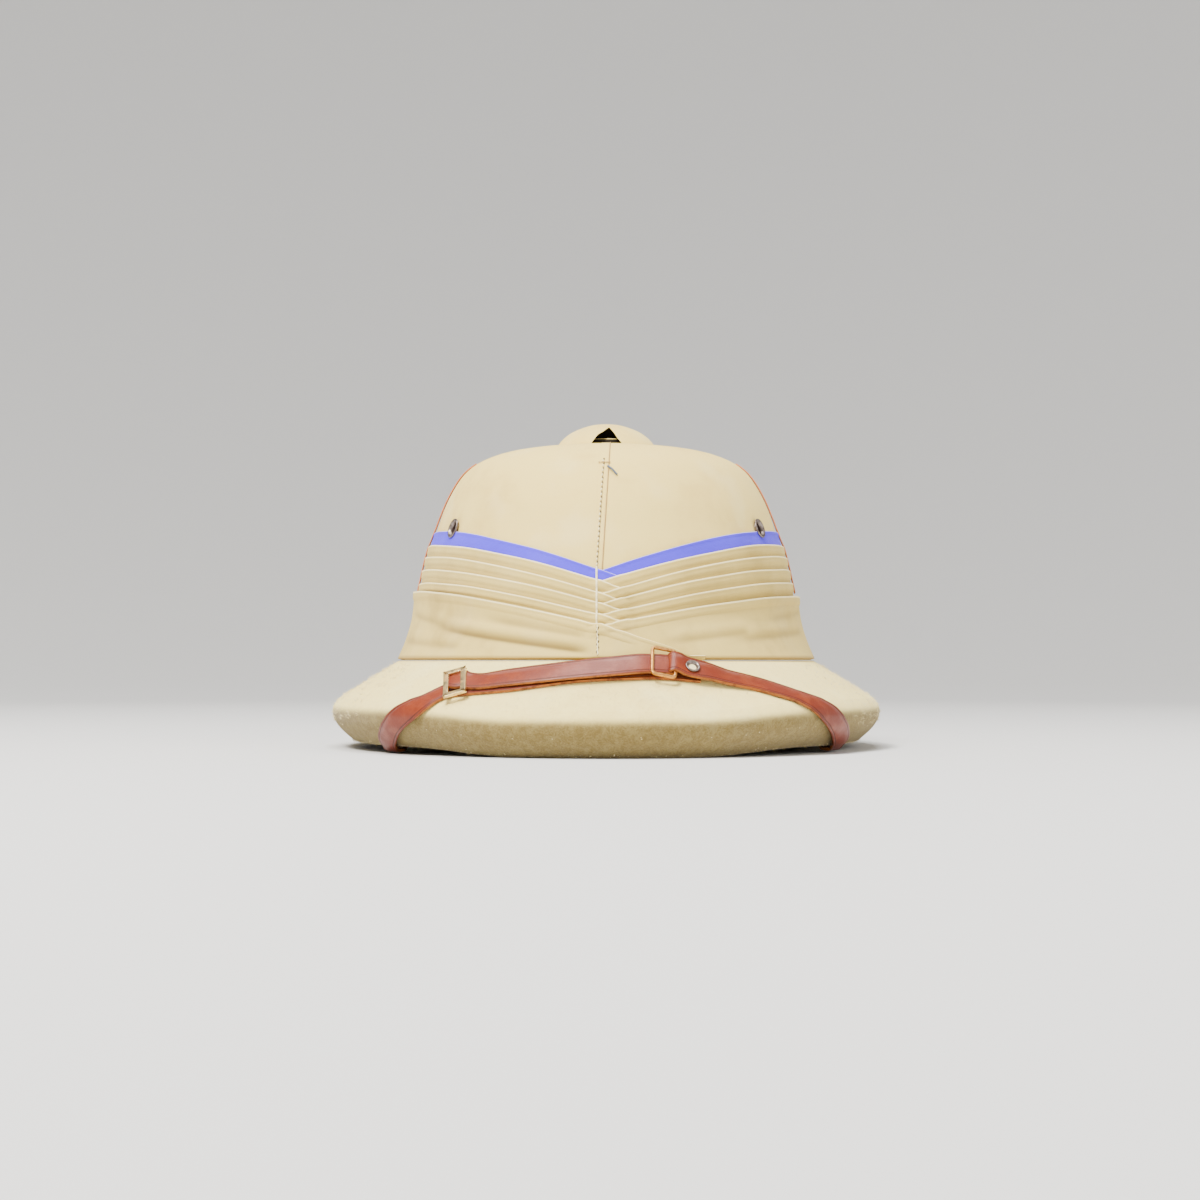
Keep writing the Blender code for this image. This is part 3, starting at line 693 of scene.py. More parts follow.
def makeBrimMaterial():
    # brushed cotton over pith: a matted nap, with painted shade darkening the lip
    look = {"cloth": sRgb(253, 232, 146), "lip": sRgb(104, 84, 38), "pale": sRgb(255, 246, 200),
            "speck": sRgb(206, 176, 96)}
    material, w, shader = newMaterial("brimCloth", 0.95, Sheen_Weight=0.15, Sheen_Roughness=0.6,
                                      Specular_IOR_Level=0.2)
    vector = coordinates(w)
    nap = w.group(napGroup, Vector=vector, Size=1100.0)
    fine = w.ramp(nap.outputs["Height"], 0.45, 0.75)
    tone = w.group(toneGroup, Vector=vector, Cloth=look["cloth"], Stain=look["speck"],
                   Faded=look["pale"], Amount=0.2)
    # painted shade: the lip, turned down under the lit top, is darkened towards the lip colour, a
    # little unevenly with the nap
    paintedLipShade = w.times(attribute(w, "lip"), w.math("MULTIPLY_ADD", fine, 0.16, 0.82))
    colour = w.mix(paintedLipShade, tone.outputs["Color"], look["lip"])
    colour = w.mix(w.times(nap.outputs["Tone"], 0.10), colour, look["speck"])
    w.put(shader, "Base Color", colour)
    w.put(shader, "Normal", w.bump(nap.outputs["Height"], 0.85, 0.0008))
    return material


def makeFluffMaterial():
    # loose pale fibres and lint of the nap
    material, w, shader = newMaterial("napFluff", 0.9, Sheen_Weight=0.3)
    tint = w.noise(coordinates(w), 320.0, 1.0)
    w.put(shader, "Base Color", w.mix(tint, sRgb(248, 234, 184), sRgb(222, 198, 134)))
    return material


def makeLeatherMaterial():
    # polished brown leather, darker in the creases along both edges, with a painted highlight
    # streak along its upper side
    look = {"face": sRgb(112, 38, 14), "dark": sRgb(44, 13, 7), "rubbed": sRgb(142, 62, 26),
            "streakHighlight": sRgb(138, 88, 80)}
    material, w, shader = newMaterial("strapLeather", 0.42, Coat_Weight=0.12, Coat_Roughness=0.22,
                                      Specular_IOR_Level=0.35)
    flat = coordinates(w, "UV")
    wear = w.group(wearGroup, Vector=coordinates(w), Size=110.0)
    across = attribute(w, "across")
    fromEdge = w.math("SUBTRACT", 0.5, w.math("ABSOLUTE", w.math("SUBTRACT", across, 0.5)))
    crease = w.times(w.ramp(fromEdge, 0.07, 0.105), w.ramp(fromEdge, 0.105, 0.15, 1.0, 0.0))
    border = w.ramp(fromEdge, 0.0, 0.05, 1.0, 0.0)
    colour = w.mix(w.times(wear.outputs["Rub"], 0.45), look["face"], look["rubbed"])
    # painted highlight: a patchy light streak along the upper side of the face, where light from
    # above falls
    streak = w.times(w.ramp(across, 0.62, 0.80), w.ramp(across, 0.84, 0.93, 1.0, 0.0))
    patchy = w.ramp(w.noise(w.scaled(flat, (60, 420, 1)), 1.0, 2.0), 0.38, 0.62)
    colour = w.mix(w.times(w.times(streak, patchy), 0.55), colour, look["streakHighlight"])
    colour = w.mix(w.times(wear.outputs["Scratch"], 0.25), colour, look["dark"])
    colour = w.mix(w.times(crease, 0.75), colour, look["dark"])
    colour = w.mix(w.times(border, 0.5), colour, look["dark"])
    w.put(shader, "Base Color", colour)
    w.put(shader, "Roughness", w.math("MULTIPLY_ADD", wear.outputs["Rub"], -0.12, 0.5))
    stretch = w.noise(w.scaled(flat, (900, 260, 1)), 1.0, 3.0)
    relief = w.bump(wear.outputs["Grain"], 0.25, 0.0002)
    relief = w.bump(stretch, 0.25, 0.0002, relief)
    w.put(shader, "Normal", w.bump(w.math("SUBTRACT", 1.0, crease), 0.6, 0.0004, relief))
    return material


def makeCutEdgeMaterial():
    # the raw cut edge of the leather
    material, w, shader = newMaterial("leatherEdge", 0.75)
    wear = w.group(wearGroup, Vector=coordinates(w), Size=260.0)
    colour = w.mix(wear.outputs["Rub"], sRgb(158, 92, 34), sRgb(98, 46, 16))
    w.put(shader, "Base Color", colour)
    w.put(shader, "Normal", w.bump(wear.outputs["Grain"], 0.3, 0.0002))
    return material


def makeMetalMaterial(name, bright, dull, roughness):
    material, w, shader = newMaterial(name, roughness, 1.0)
    wear = w.group(wearGroup, Vector=coordinates(w), Size=420.0)
    colour = w.mix(w.times(wear.outputs["Rub"], 0.8), bright, dull)
    colour = w.mix(w.times(wear.outputs["Scratch"], 0.4), colour, dull)
    w.put(shader, "Base Color", colour)
    w.put(shader, "Roughness", w.math("MULTIPLY_ADD", wear.outputs["Rub"], 0.25, roughness))
    w.put(shader, "Normal", w.bump(wear.outputs["Scratch"], 0.2, 0.0001))
    return material


brimCloth = makeBrimMaterial()
strapLeather = makeLeatherMaterial()
leatherEdge = makeCutEdgeMaterial()
fluff = makeFluffMaterial()
brassMetal = makeMetalMaterial("wornBrass", sRgb(212, 154, 86), sRgb(140, 92, 44), 0.32)
paleBrass = makeMetalMaterial("paleBrass", sRgb(230, 204, 150), sRgb(176, 136, 76), 0.28)
boreShade, _, _ = newMaterial("boreShade", 0.7, Base_Color=sRgb(48, 22, 12))
capShade, _, _ = newMaterial("capShade", 0.9, Base_Color=sRgb(44, 36, 20))
greyMetal = makeMetalMaterial("dullMetal", sRgb(140, 128, 122), sRgb(76, 64, 58), 0.34)
print("materials made")


# Crown: an oval dome, hollow, with a rolled collar round its vent hole

def makeCrown():
    look = {"sides": 160, "collarHeight": 3.2 * mm, "collarWidth": 2.4 * mm,
            "unevenness": 0.22 * mm, "innerStep": 1.5 * mm, "innerFoot": 3.0 * mm,
            "shadeWidth": 7.5 * mm, "litCrest": 0.4 * mm}
    vent = crownForm["vent"]
    outer = [(w, h) for h, w in crownLine if w > vent + look["collarWidth"]][::3]
    ventTop = float(np.interp(-vent, -crownLine[:, 1], crownLine[:, 0]))
    inner = []
    for (w0, h0), (w1, h1) in zip(outer, outer[1:]):
        size = math.hypot(w1 - w0, h1 - h0)
        width = min((w0 + w1) / 2 - crownForm["wall"] * (h1 - h0) / size, crownForm["hollow"])
        height = (h0 + h1) / 2 + crownForm["wall"] * (w1 - w0) / size
        lowest = (inner[-1][1] if inner else look["innerFoot"]) + look["innerStep"]
        if height > lowest and width > vent + 3 * mm:
            inner.append((width, height))
    crest = ventTop + look["collarHeight"]
    collar = [(vent + look["collarWidth"], ventTop - 0.2 * mm),
              (vent + 0.9 * look["collarWidth"], crest - 0.5 * mm),
              (vent + 0.6 * look["collarWidth"], crest), (vent + 0.3 * look["collarWidth"], crest),
              (vent, crest - 0.5 * mm)]
    rows = [(crownForm["hollow"], 0.3 * mm), (hemWidth - 1 * mm, 0.0)] + outer + collar
    rows += [(vent, ventTop - crownForm["wall"])] + inner[::-1] + [(crownForm["hollow"], 0.3 * mm)]
    crown = turnRows("crownCover", rows, look["sides"])
    ripple = waves(3, 6, 2, 7)
    climb = waves(5, 4, 60, 160)
    for vertex in crown.data.vertices:
        x, y, z = vertex.co
        angle = math.atan2(x, -y)
        dent = look["unevenness"] * float(ripple(angle) * climb(z))
        radius = math.hypot(x, y)
        grow = 1 + dent / radius if radius > 30 * mm else 1
        vertex.co = (x * grow, y * grow * lengthRatio, z)
    crown.location = (0, headY, hemZ)
    bakePlace(crown)
    flattenUv(crown)
    smoothShade(crown, 50)
    finishPiece(crown, [crownCloth, capShade], ["crown"])
    for polygon in crown.data.polygons:
        x, y, z = polygon.center.x, polygon.center.y - headY, polygon.center.z
        under = math.hypot(x, y / lengthRatio) < vent + look["shadeWidth"]
        low, high = ventTop - 2 * mm, crest - look["litCrest"]
        polygon.material_index = 1 if under and low < z - hemZ < high else 0
    return crown


def flattenUv(piece):
    # UV in metres: round the head and up the surface
    mesh = piece.data
    layer = mesh.uv_layers.active or mesh.uv_layers.new(name="flat")
    for polygon in mesh.polygons:
        corners = [mesh.vertices[i].co for i in polygon.vertices]
        turns = [math.atan2(corner.x, headY - corner.y) for corner in corners]
        if max(turns) - min(turns) > math.pi:
            turns = [t + 2 * math.pi if t < 0 else t for t in turns]
        for loop, point, turn in zip(polygon.loop_indices, corners, turns):
            out = math.hypot(point.x, (point.y - headY) / lengthRatio)
            layer.data[loop].uv = (turn * hemWidth, point.z - out)


crownCover = makeCrown()
print("crown made")


# Brim: the section swept round the head, its lip rounded, its face slightly uneven

def makeBrim():
    look = {"sides": 200, "smooth": 5, "uneven": 0.35 * mm, "shelf": 5 * mm,
            # the painted shade on the lip, in rows of the section past the nose
            "lipShadeFrom": -1.33, "lipShadeSpan": 1.67, "lipShadeTo": 4.7, "lipShadeFade": 2.0}
    shelf = crownForm["hollow"] + look["shelf"]
    rows = [(hemWidth + r, h) for r, h in catmull(brimSection(90)[0], look["smooth"])]
    rows.append((shelf, -brimForm["gap"]))
    rows.append(rows[0])
    brim = turnRows("brimCover", rows, look["sides"])
    keys = np.array([(r, h) for r, h in rows[:-1]])
    around, climb = waves(11, 5, 2, 9), waves(12, 4, 60, 200)
    lips = np.zeros(len(brim.data.vertices))
    lines = {}
    nose = len(brimForm["upperLip"]) * look["smooth"]
    for vertex in brim.data.vertices:
        x, y, z = vertex.co
        angle = round(math.degrees(math.atan2(x, -y)), 3)
        row = int(np.argmin(np.hypot(keys[:, 0] - math.hypot(x, y), keys[:, 1] - z)))
        if angle not in lines:
            lines[angle] = catmull(brimSection(angle)[0], look["smooth"])
        if row < len(lines[angle]):
            reach, height = lines[angle][row]
        else:
            reach, height = shelf - hemWidth, -brimForm["gap"]
        turn = math.radians(angle)
        step = row / look["smooth"]
        onTop = float(smoothStep(step - 0.3)) if row < nose + 5 else 0
        height += look["uneven"] * onTop * float(around(turn) * climb(reach))
        height = max(height, min(h for _, h in brimSection(angle)[0]))
        vertex.co = brimPlace(angle, reach, height)
        # how much painted shade each point takes on the lip
        past = step - len(brimForm["upperLip"])
        lips[vertex.index] = float(smoothStep((past - look["lipShadeFrom"]) / look["lipShadeSpan"])
                                   * (1 - smoothStep((past - look["lipShadeTo"]) / look["lipShadeFade"])))
    edge = brim.data.attributes.new("lip", "FLOAT", "POINT")
    edge.data.foreach_set("value", lips)
    brim.data.update()
    flattenUv(brim)
    smoothShade(brim, 50)
    return finishPiece(brim, brimCloth, ["brim"])


brimCover = makeBrim()
print("brim made")


# Scarf: twelve layers laid from both sides, each over the one before, plaited at the front

scarf = {
    # fold lines above the hem at the sides and at the front: band top, four pleats, wide wrap
    "sides": (67.4 * mm, 59.8 * mm, 53.9 * mm, 47.1 * mm, 40.2 * mm, 34.4 * mm),
    "fronts": (43.2 * mm, 37.8 * mm, 31.8 * mm, 27.0 * mm, 21.3 * mm, 14.6 * mm),
    "wrapTilt": 1.4 * mm,          # the wide wrap sits higher on the left
    "power": 1.46,
    "frontAngle": -1.3,            # where the two sides meet, degrees
    "frontSlope": 37.0 * mm,       # for each radian past the middle
    "lap": 3.0 * mm,
    "leftEnd": 7.2,                # degrees at which the hidden ends lie
    "rightEnd": -5.0,
    "taper": 4.0,                  # degrees in which a hidden end thins out
    "lowest": 0.35 * mm,
    "thickness": 0.62 * mm,
    "blueThickness": 0.5 * mm,
    "wrapThickness": 1.3 * mm,
    "gap": 0.10 * mm,
    "soften": 1.3 * mm,            # distance over which a layer rises onto another's edge
    "wander": 0.28 * mm,
    # slanting folds of the wide wrap: angle and height of both ends, width and size
    "wrapFolds": (
        (-58, 17.5 * mm, -2.4, 3.4 * mm, 2.7 * mm, 1.5 * mm),
        (-38, 22 * mm, -4, 10 * mm, 3.4 * mm, 0.55 * mm),
        (-85, 11 * mm, -40, 6 * mm, 2.8 * mm, 0.5 * mm),
        (-78, 25 * mm, -48, 17 * mm, 2.8 * mm, 0.45 * mm),
        (30, 9 * mm, 75, 15 * mm, 3.2 * mm, 0.55 * mm),
        (12, 7.5 * mm, 42, 14 * mm, 2.8 * mm, 0.5 * mm),
        (48, 20 * mm, 80, 26 * mm, 3.0 * mm, 0.4 * mm),
        (110, 12 * mm, 165, 18 * mm, 4.0 * mm, 0.5 * mm),
        (-165, 20 * mm, -115, 12 * mm, 4.0 * mm, 0.5 * mm),
    ),
}


def foldLine(index, side, angle):
    # height of a layer's upper edge. side is -1 for one laid from the left, 1 from the right
    high, low = scarf["sides"][index], scarf["fronts"][index]
    high -= side * scarf["wrapTilt"] if index == 5 else 0
    away = (angle - scarf["frontAngle"]) * side
    turn = np.radians(away)
    law = np.where(np.cos(turn) > 0, (1 - np.abs(np.sin(turn))) ** scarf["power"], 0)
    level = high - (high - low) * law
    beyond = low + scarf["frontSlope"] * turn
    ripple = waves(20 + index * 2 + (side > 0), 5, 3, 16)(np.radians(angle)) * scarf["wander"]
    return np.where(away >= 0, level, beyond) + ripple


class Layer:
    # one cloth layer of the scarf: its reach round the head and its edges

    def __init__(self, name, index, side, last):
        self.name, self.index, self.side = name, index, side
        if side < 0:
            self.start, self.end = -184.0, 24.5 if last else scarf["leftEnd"]
        else:
            self.start, self.end = scarf["rightEnd"], 181.0
        self.last = last

    def top(self, angle):
        return foldLine(self.index, self.side, angle)

    def bottom(self, angle):
        if self.last:
            return np.zeros_like(angle) + 0.2 * mm
        return np.maximum(foldLine(self.index + 1, self.side, angle) - scarf["lap"], 0.5 * mm)

    def thickness(self):
        if self.last:
            return scarf["wrapThickness"]
        return scarf["blueThickness"] if self.index == 0 else scarf["thickness"]

    def fullness(self, angle):
        # thickness share: thin at the hidden front end
        if self.last and self.side < 0:
            return np.ones_like(angle)
        away = self.end - angle if self.side < 0 else angle - self.start
        return smoothStep((away + 0.6) / scarf["taper"])

    def covers(self, angle, height):
        # how far this layer lies under the point, 0 to 1
        most = np.zeros_like(angle)
        soft = scarf["soften"]
        for turn in (-360, 0, 360):
            a = angle + turn
            under = smoothStep((self.top(a) + soft - height) / soft)
            over = smoothStep((height - self.bottom(a) + soft) / soft)
            ends = smoothStep((a - self.start + 1.2) / 1.0) * smoothStep((self.end + 1.2 - a) / 1.0)
            most = np.maximum(most, under * over * ends * self.fullness(a))
        return most


layers = []
for foldIndex in range(6):
    isLast = foldIndex == 5
    word = "blueBand" if foldIndex == 0 else "wideWrap" if isLast else "pleat%d" % foldIndex
    layers.append(Layer(word + "Right", foldIndex, 1, isLast))
    layers.append(Layer(word + "Left", foldIndex, -1, isLast))


def stackedOffset(order, angle, height):
    # offset of a layer's inner side: it lies on all the earlier layers there
    offset = np.full_like(angle, scarf["lowest"])
    for layer in layers[:order]:
        offset = offset + layer.covers(angle, height) * (layer.thickness() + scarf["gap"])
    return offset


def wrapBulge(angle, height, share):
    # the wide wrap stands off at its top and has a few slanting folds; and each point's shade
    bulge = 1.5 * mm * share ** 0.8 + 0.3 * mm
    ridge = np.zeros_like(angle)
    shaded = np.zeros_like(angle)
    for angle0, height0, angle1, height1, wide, size in scarf["wrapFolds"]:
        along = (angle - angle0) / (angle1 - angle0)
        centre = height0 + (height1 - height0) * along
        fade = smoothStep(along / 0.35) * smoothStep((1 - along) / 0.12)
        away = (height - centre) / wide
        ridge += size * fade * (np.exp(-(away - 0.85) ** 2) - 0.9 * np.exp(-(away + 0.3) ** 2))
        shaded += fade * min(size / mm, 1.2) * 0.7 * np.exp(-((away + 0.15) / 0.62) ** 2)
    ripple = waves(41, 6, 5, 24)(np.radians(angle)) * waves(42, 4, 120, 420)(height) * 0.16 * mm
    return bulge + ridge + ripple, np.clip(shaded, 0, 1)


def makeLayer(order, layer):
    wide = layer.last
    columns, rows = (300, 36) if wide else (300, 16)
    shades = []

    def place(u, v):
        angle = layer.start + (layer.end - layer.start) * u
        top, bottom = layer.top(angle), layer.bottom(angle)
        width = np.maximum(top - bottom, 0.8 * mm)
        height = bottom + width * v
        offset = stackedOffset(order, angle, height)
        shaded = np.zeros_like(angle)
        if wide:
            bulge, shaded = wrapBulge(angle, height, v)
            offset = offset + bulge
        else:
            crumple = waves(60 + order, 6, 6, 40)(np.radians(angle)) * 0.12 * mm
            offset = offset + crumple + 0.25 * mm * v
        # the fold's rounded edge stands a little proud
        fromTop = width * (1 - v)
        offset = offset + 0.28 * mm * np.exp(-((fromTop - 0.45 * mm) / (0.55 * mm)) ** 2)
        shades.append(shaded)
        return crownPlace(angle, height, offset)

    middle = np.array([(layer.start + layer.end) / 2])
    width = float((layer.top(middle) - layer.bottom(middle))[0])
    length = math.radians(layer.end - layer.start) * (hemWidth + hemLength) / 2 * 0.93
    piece = layGrid(layer.name, columns, rows, (length, width), place)
    shadeLayer = piece.data.attributes.new("shaded", "FLOAT", "POINT")
    shadeLayer.data.foreach_set("value", shades[0])
    material = blueCloth if layer.index == 0 else wrapCloth if wide else foldCloth
    full = piece.vertex_groups.new(name="full")
    flatAngles = np.linspace(layer.start, layer.end, columns + 1)
    shares = layer.fullness(flatAngles)
    for vertex in piece.data.vertices:
        full.add([vertex.index], float(shares[vertex.index % (columns + 1)]), "REPLACE")
    applyModifier(piece, "SOLIDIFY", thickness=layer.thickness(), offset=1.0,
                  vertex_group="full", thickness_vertex_group=0.12)
    softenEdges(piece, 0.3 * layer.thickness())
    smoothShade(piece, 60)
    node = "blue_band" if layer.index == 0 else "wide_wrap" if wide else "pleat_%d" % layer.index
    finishPiece(piece, material, [node])
    declareSheet(piece)
    return piece


scarfPieces = [makeLayer(order, layer) for order, layer in enumerate(layers)]
print("scarf laid")


# Side strips of tan tape, up the crown over the scarf

def makeSideStrip(word, side):
    look = {"angle": 86.5, "width": 8.0 * mm, "top": 105.0 * mm, "thickness": 0.6 * mm,
            "spans": 5.0 * mm}
    low = scarf["sides"][5] + 1.0 * mm
    spread = math.degrees(look["width"] / (hemLength * 0.87)) / 2

    # the taut tape spans the folds: the highest layer nearby, then evened out
    steps = np.linspace(low - 12 * mm, look["top"] + 12 * mm, 400)
    under = stackedOffset(10, np.full_like(steps, side * look["angle"]), steps)
    reach = int(look["spans"] / (steps[1] - steps[0]))
    highest = np.array([under[max(i - reach, 0):i + reach + 1].max() for i in range(len(steps))])
    box = np.ones(2 * reach + 1) / (2 * reach + 1)
    even = np.convolve(np.pad(highest, reach, "edge"), box, "valid")

    def place(u, v):
        height = low + (look["top"] - low) * u
        angle = side * look["angle"] + (0.5 - v) * 2 * spread
        return crownPlace(angle, height, np.interp(height, steps, even) + 0.1 * mm)

    length = (look["top"] - low) * 1.12
    piece = layGrid("sideStrip" + word, 90, 6, (length, look["width"]), place)
    applyModifier(piece, "SOLIDIFY", thickness=look["thickness"], offset=1.0)
    softenEdges(piece, 0.25 * mm)
    smoothShade(piece, 60)
    finishPiece(piece, tapeCloth, ["side_strip_" + word.lower()])
    declareSheet(piece)
    return piece


for word, side in (("Left", -1), ("Right", 1)):
    makeSideStrip(word, side)


# Chin strap: three lengths of leather and two slides

strap = {
    "width": 11.6 * mm, "endWidth": 10.2 * mm, "leather": 1.7 * mm, "clearance": 0.4 * mm,
    "gap": 0.3 * mm, "crowned": 0.25 * mm, "steps": 8, "across": 14,
    "endsFrom": 34.0, "endsTo": 44.0,      # degrees in which it narrows towards the lip
    "slideThickness": 1.5 * mm,
    "lean": 10.0, "lever": 22.5 * mm,      # it leans about a line half the lever below its middle
    "fill": 2.6 * mm, "fillAt": -33.2, "fillSpan": 1.7,    # wider where it fills the left slide
    # centre lines: angle, place across the brim, layer that it lies on, lean off the brim
    "left": (
        (-57.5, 4.55, 0.35, 0), (-57.0, 4.00, 0.35, 0), (-55.0, 3.40, 0.35, 0),
        (-53.2, 3.00, 0.35, 0), (-51.8, 2.10, 0.40, 0), (-50.0, 1.685, 0.50, 0),
        (-45.1, 1.216, 0.40, 0), (-41.1, 0.969, 0.28, 0), (-37.7, 0.847, 0.20, 0),
        (-35.3, 0.66, 0.05, 0), (-34.2, 0.61, 0.05, 0), (-32.4, 0.565, 0.05, 0),
        (-30.6, 0.54, 0.05, 0), (-28.0, 0.497, 0, 0), (-20.0, 0.405, 0, 0), (-8.0, 0.27, 0, 0),
        (2.6, 0.222, 0, 0), (12.4, 0.212, 0, 0), (21.0, 0.272, 0, 0),
    ),
    "upper": (
        (-34.9, 0.505, 1.6, 0), (-34.2, 0.50, 1.85, 0), (-33.1, 0.494, 1.85, 0),
        (-31.9, 0.488, 1.65, 0), (-30.9, 0.484, 1.4, 0), (-29.9, 0.48, 1.2, 0),
        (-28.6, 0.472, 1.05, 0), (-27.0, 0.455, 1, 0), (-25.0, 0.43, 1, 0.1),
        (-20.4, 0.378, 1, 0.3), (-8.0, 0.28, 1, 0.6), (2.0, 0.222, 1, 0.9), (6.6, 0.195, 1, 1),
        (8.4, 0.186, 0.95, 1), (10.2, 0.184, 0.85, 1), (12.4, 0.188, 0.8, 1), (15.4, 0.20, 0.75, 1),
    ),
    "right": (
        (14.9, 0.196, 1.0, 1), (14.5, 0.196, 1.6, 1), (15.0, 0.20, 2.0, 1),
        (16.0, 0.212, 1.9, 1), (17.0, 0.226, 1.4, 1), (18.2, 0.243, 1, 1), (20.4, 0.275, 1, 0.8),
        (23.0, 0.305, 1, 0.5), (28.0, 0.375, 0.5, 0), (33.1, 0.461, 0, 0), (37.0, 0.606, 0.15, 0),
        (41.7, 0.80, 0.25, 0), (45.5, 0.935, 0.35, 0), (50.4, 1.215, 0.42, 0),
        (56.2, 1.727, 0.50, 0), (57.7, 2.10, 0.35, 0), (59.2, 3.00, 0.35, 0),
        (61.0, 3.40, 0.35, 0), (63.5, 4.00, 0.35, 0), (64.0, 4.55, 0.35, 0),
    ),
    "eyelet": (19.0, 0.262, 1, 1),
}


def layerLift(layer):
    first = strap["clearance"]
    second = first + strap["leather"] + strap["gap"]
    third = second + strap["slideThickness"] + strap["gap"]
    return float(np.interp(max(layer, 0), (0, 1, 2, 3), (first, second, third, third + 2 * mm)))


def leaningLift(layer, lean, out):
    turn = math.radians(strap["lean"] * min(max(lean, 0), 1))
    return layerLift(layer) + (strap["lever"] / 2 - out) * math.sin(turn)


def makeStrap(name, rows, node):
    # leather laid along its rows, its face slightly crowned
    line = catmull([(a, arcAt(a, p), l, t) for a, p, l, t in rows], strap["steps"])
    turn, arc, layer, lean = line.T
    rate = np.array([brimFrame(a, s)[2] for a, s in zip(turn, arc)])
    # the way along, level with the brim, smoothed where the leather folds back round a bar
    ahead, climb = np.gradient(turn) * rate, np.gradient(arc)
    flip = np.where(ahead * (turn[-1] - turn[0]) < 0, -1, 1)
    size = np.maximum(np.hypot(ahead, climb), 1e-6)
    ahead, climb = flip * ahead / size, flip * climb / size
    for _ in range(14):
        ahead[1:-1] = (ahead[:-2] + ahead[1:-1] * 2 + ahead[2:]) / 4
        climb[1:-1] = (climb[:-2] + climb[1:-1] * 2 + climb[2:]) / 4
    size = np.hypot(ahead, climb)
    ahead, climb = ahead / size, climb / size
    count = len(line) - 1
    spans = [(brimPoint(a1, s1) - brimPoint(a0, s0)).length
             for a0, s0, a1, s1 in zip(turn, arc, turn[1:], arc[1:])]

    def place(u, v):
        out = np.empty((len(u), 3))
        for k, (a, b) in enumerate(zip(u, v)):
            i = int(round(a * count))
            ending = float(smoothStep((abs(turn[i]) - strap["endsFrom"])
                                      / (strap["endsTo"] - strap["endsFrom"])))
            shift = (0.5 - b) * (strap["width"] + (strap["endWidth"] - strap["width"]) * ending)
            if node == "strap_upper":
                near = math.exp(-((turn[i] - strap["fillAt"]) / strap["fillSpan"]) ** 4)
                shift *= 1 + strap["fill"] / strap["width"] * near
            level = shift * math.cos(math.radians(strap["lean"] * lean[i]))
            angle = turn[i] - level * climb[i] / rate[i]
            s = arc[i] + level * ahead[i]
            point, normal, _ = brimFrame(angle, max(s, 0))
            if s < 0:
                point = point + (brimPoint(angle, 1 * mm) - brimPoint(angle, 0)).normalized() * s
            raised = strap["crowned"] * (1 - (2 * b - 1) ** 2)
            out[k] = point + normal * (leaningLift(layer[i], lean[i], shift) + raised)
        return out

    piece = layGrid(name, count, strap["across"], (sum(spans), strap["width"]), place)
    piece.data.materials.append(strapLeather)
    piece.data.materials.append(leatherEdge)
    applyModifier(piece, "SOLIDIFY", thickness=strap["leather"] - strap["crowned"], offset=1.0,
                  material_offset_rim=1)
    softenEdges(piece, 0.3 * mm, 60)
    smoothShade(piece, 55)
    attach(piece, "root")
    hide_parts(node)
    piece.select_set(False)
    print(name, "length", round(sum(spans) * 1000), "mm")
    return piece


makeStrap("strapLong", strap["left"], "strap_left")
makeStrap("strapTop", strap["upper"], "strap_upper")
strapShort = makeStrap("strapShort", strap["right"], "strap_right")
print("strap laid")


def strapMatrix(row, rise):
    # a frame on the strap: X to the right along the brim, Z off the strap
    angle, share, layer, lean = row
    point, normal, _ = brimFrame(angle, arcAt(angle, share))
    along = Vector((1, 0, 0))
    along = (along - along.dot(normal) * normal).normalized()
    turn = Matrix((along, normal.cross(along), normal)).transposed().to_4x4()
    lift = leaningLift(layer, lean, 0)
    return (Matrix.Translation(point + normal * lift) @ turn
            @ Matrix.Rotation(math.radians(strap["lean"] * lean), 4, "X")
            @ Matrix.Translation((0, 0, rise)))


slides = {
    # row on the strap, length along it, width across it, lean along it and down the slope
    "Left": {"row": (-32.4, 0.572, 2.15, 0), "long": 11.4 * mm, "wide": 19.8 * mm, "tilt": -1.0,
             "dip": 7.0, "bar": 2.6 * mm, "corner": 0.7 * mm, "metal": paleBrass},
    "Right": {"row": (12.7, 0.192, 1.5, 1), "long": 13.0 * mm, "wide": 18.9 * mm, "tilt": 5.0,
              "dip": 0.0, "bar": 1.7 * mm, "corner": 2.6 * mm, "metal": brassMetal},
}


def makeSlide(word, look):
    bpy.ops.object.select_all(action="DESELECT")
    bpy.ops.mesh.primitive_plane_add(size=1, location=(0, 0, 0))
    piece = nameActive("slide" + word)
    piece.scale = (look["long"], look["wide"], 1)
    bakePlace(piece)
    editAll(piece)
    bpy.ops.mesh.bevel(offset=look["corner"], segments=5, affect="VERTICES")
    bpy.ops.mesh.inset(thickness=look["bar"])
    bpy.ops.mesh.delete(type="FACE")
    bpy.ops.mesh.select_all(action="SELECT")
    extrudeBy((0, 0, strap["slideThickness"]))
    bpy.ops.object.mode_set(mode="OBJECT")
    outwardNormals(piece)
    softenEdges(piece, 0.5 * mm, 40, 4)
    piece.matrix_world = (strapMatrix(look["row"], 0)
                          @ Matrix.Rotation(math.radians(look["tilt"]), 4, "Y")
                          @ Matrix.Rotation(math.radians(look["dip"]), 4, "X"))
    bakePlace(piece)
    smoothShade(piece, 50)
    finishPiece(piece, look["metal"], ["slide_" + word.lower()])


for word, look in slides.items():
    makeSlide(word, look)


# Eyelets and studs

eyelets = {
    # radius, hole, rim and tube
    "vent": (5.2 * mm, 3.3 * mm, 1.0 * mm, 8.0 * mm),
    "strap": (3.6 * mm, 1.8 * mm, 0.8 * mm, 1.6 * mm),
    "angle": 58.0, "height": 67.3 * mm, "stand": 1.15 * mm,
    "ventBore": 3.75 * mm, "strapBore": 2.7 * mm, "backRadius": 2.3 * mm,
}


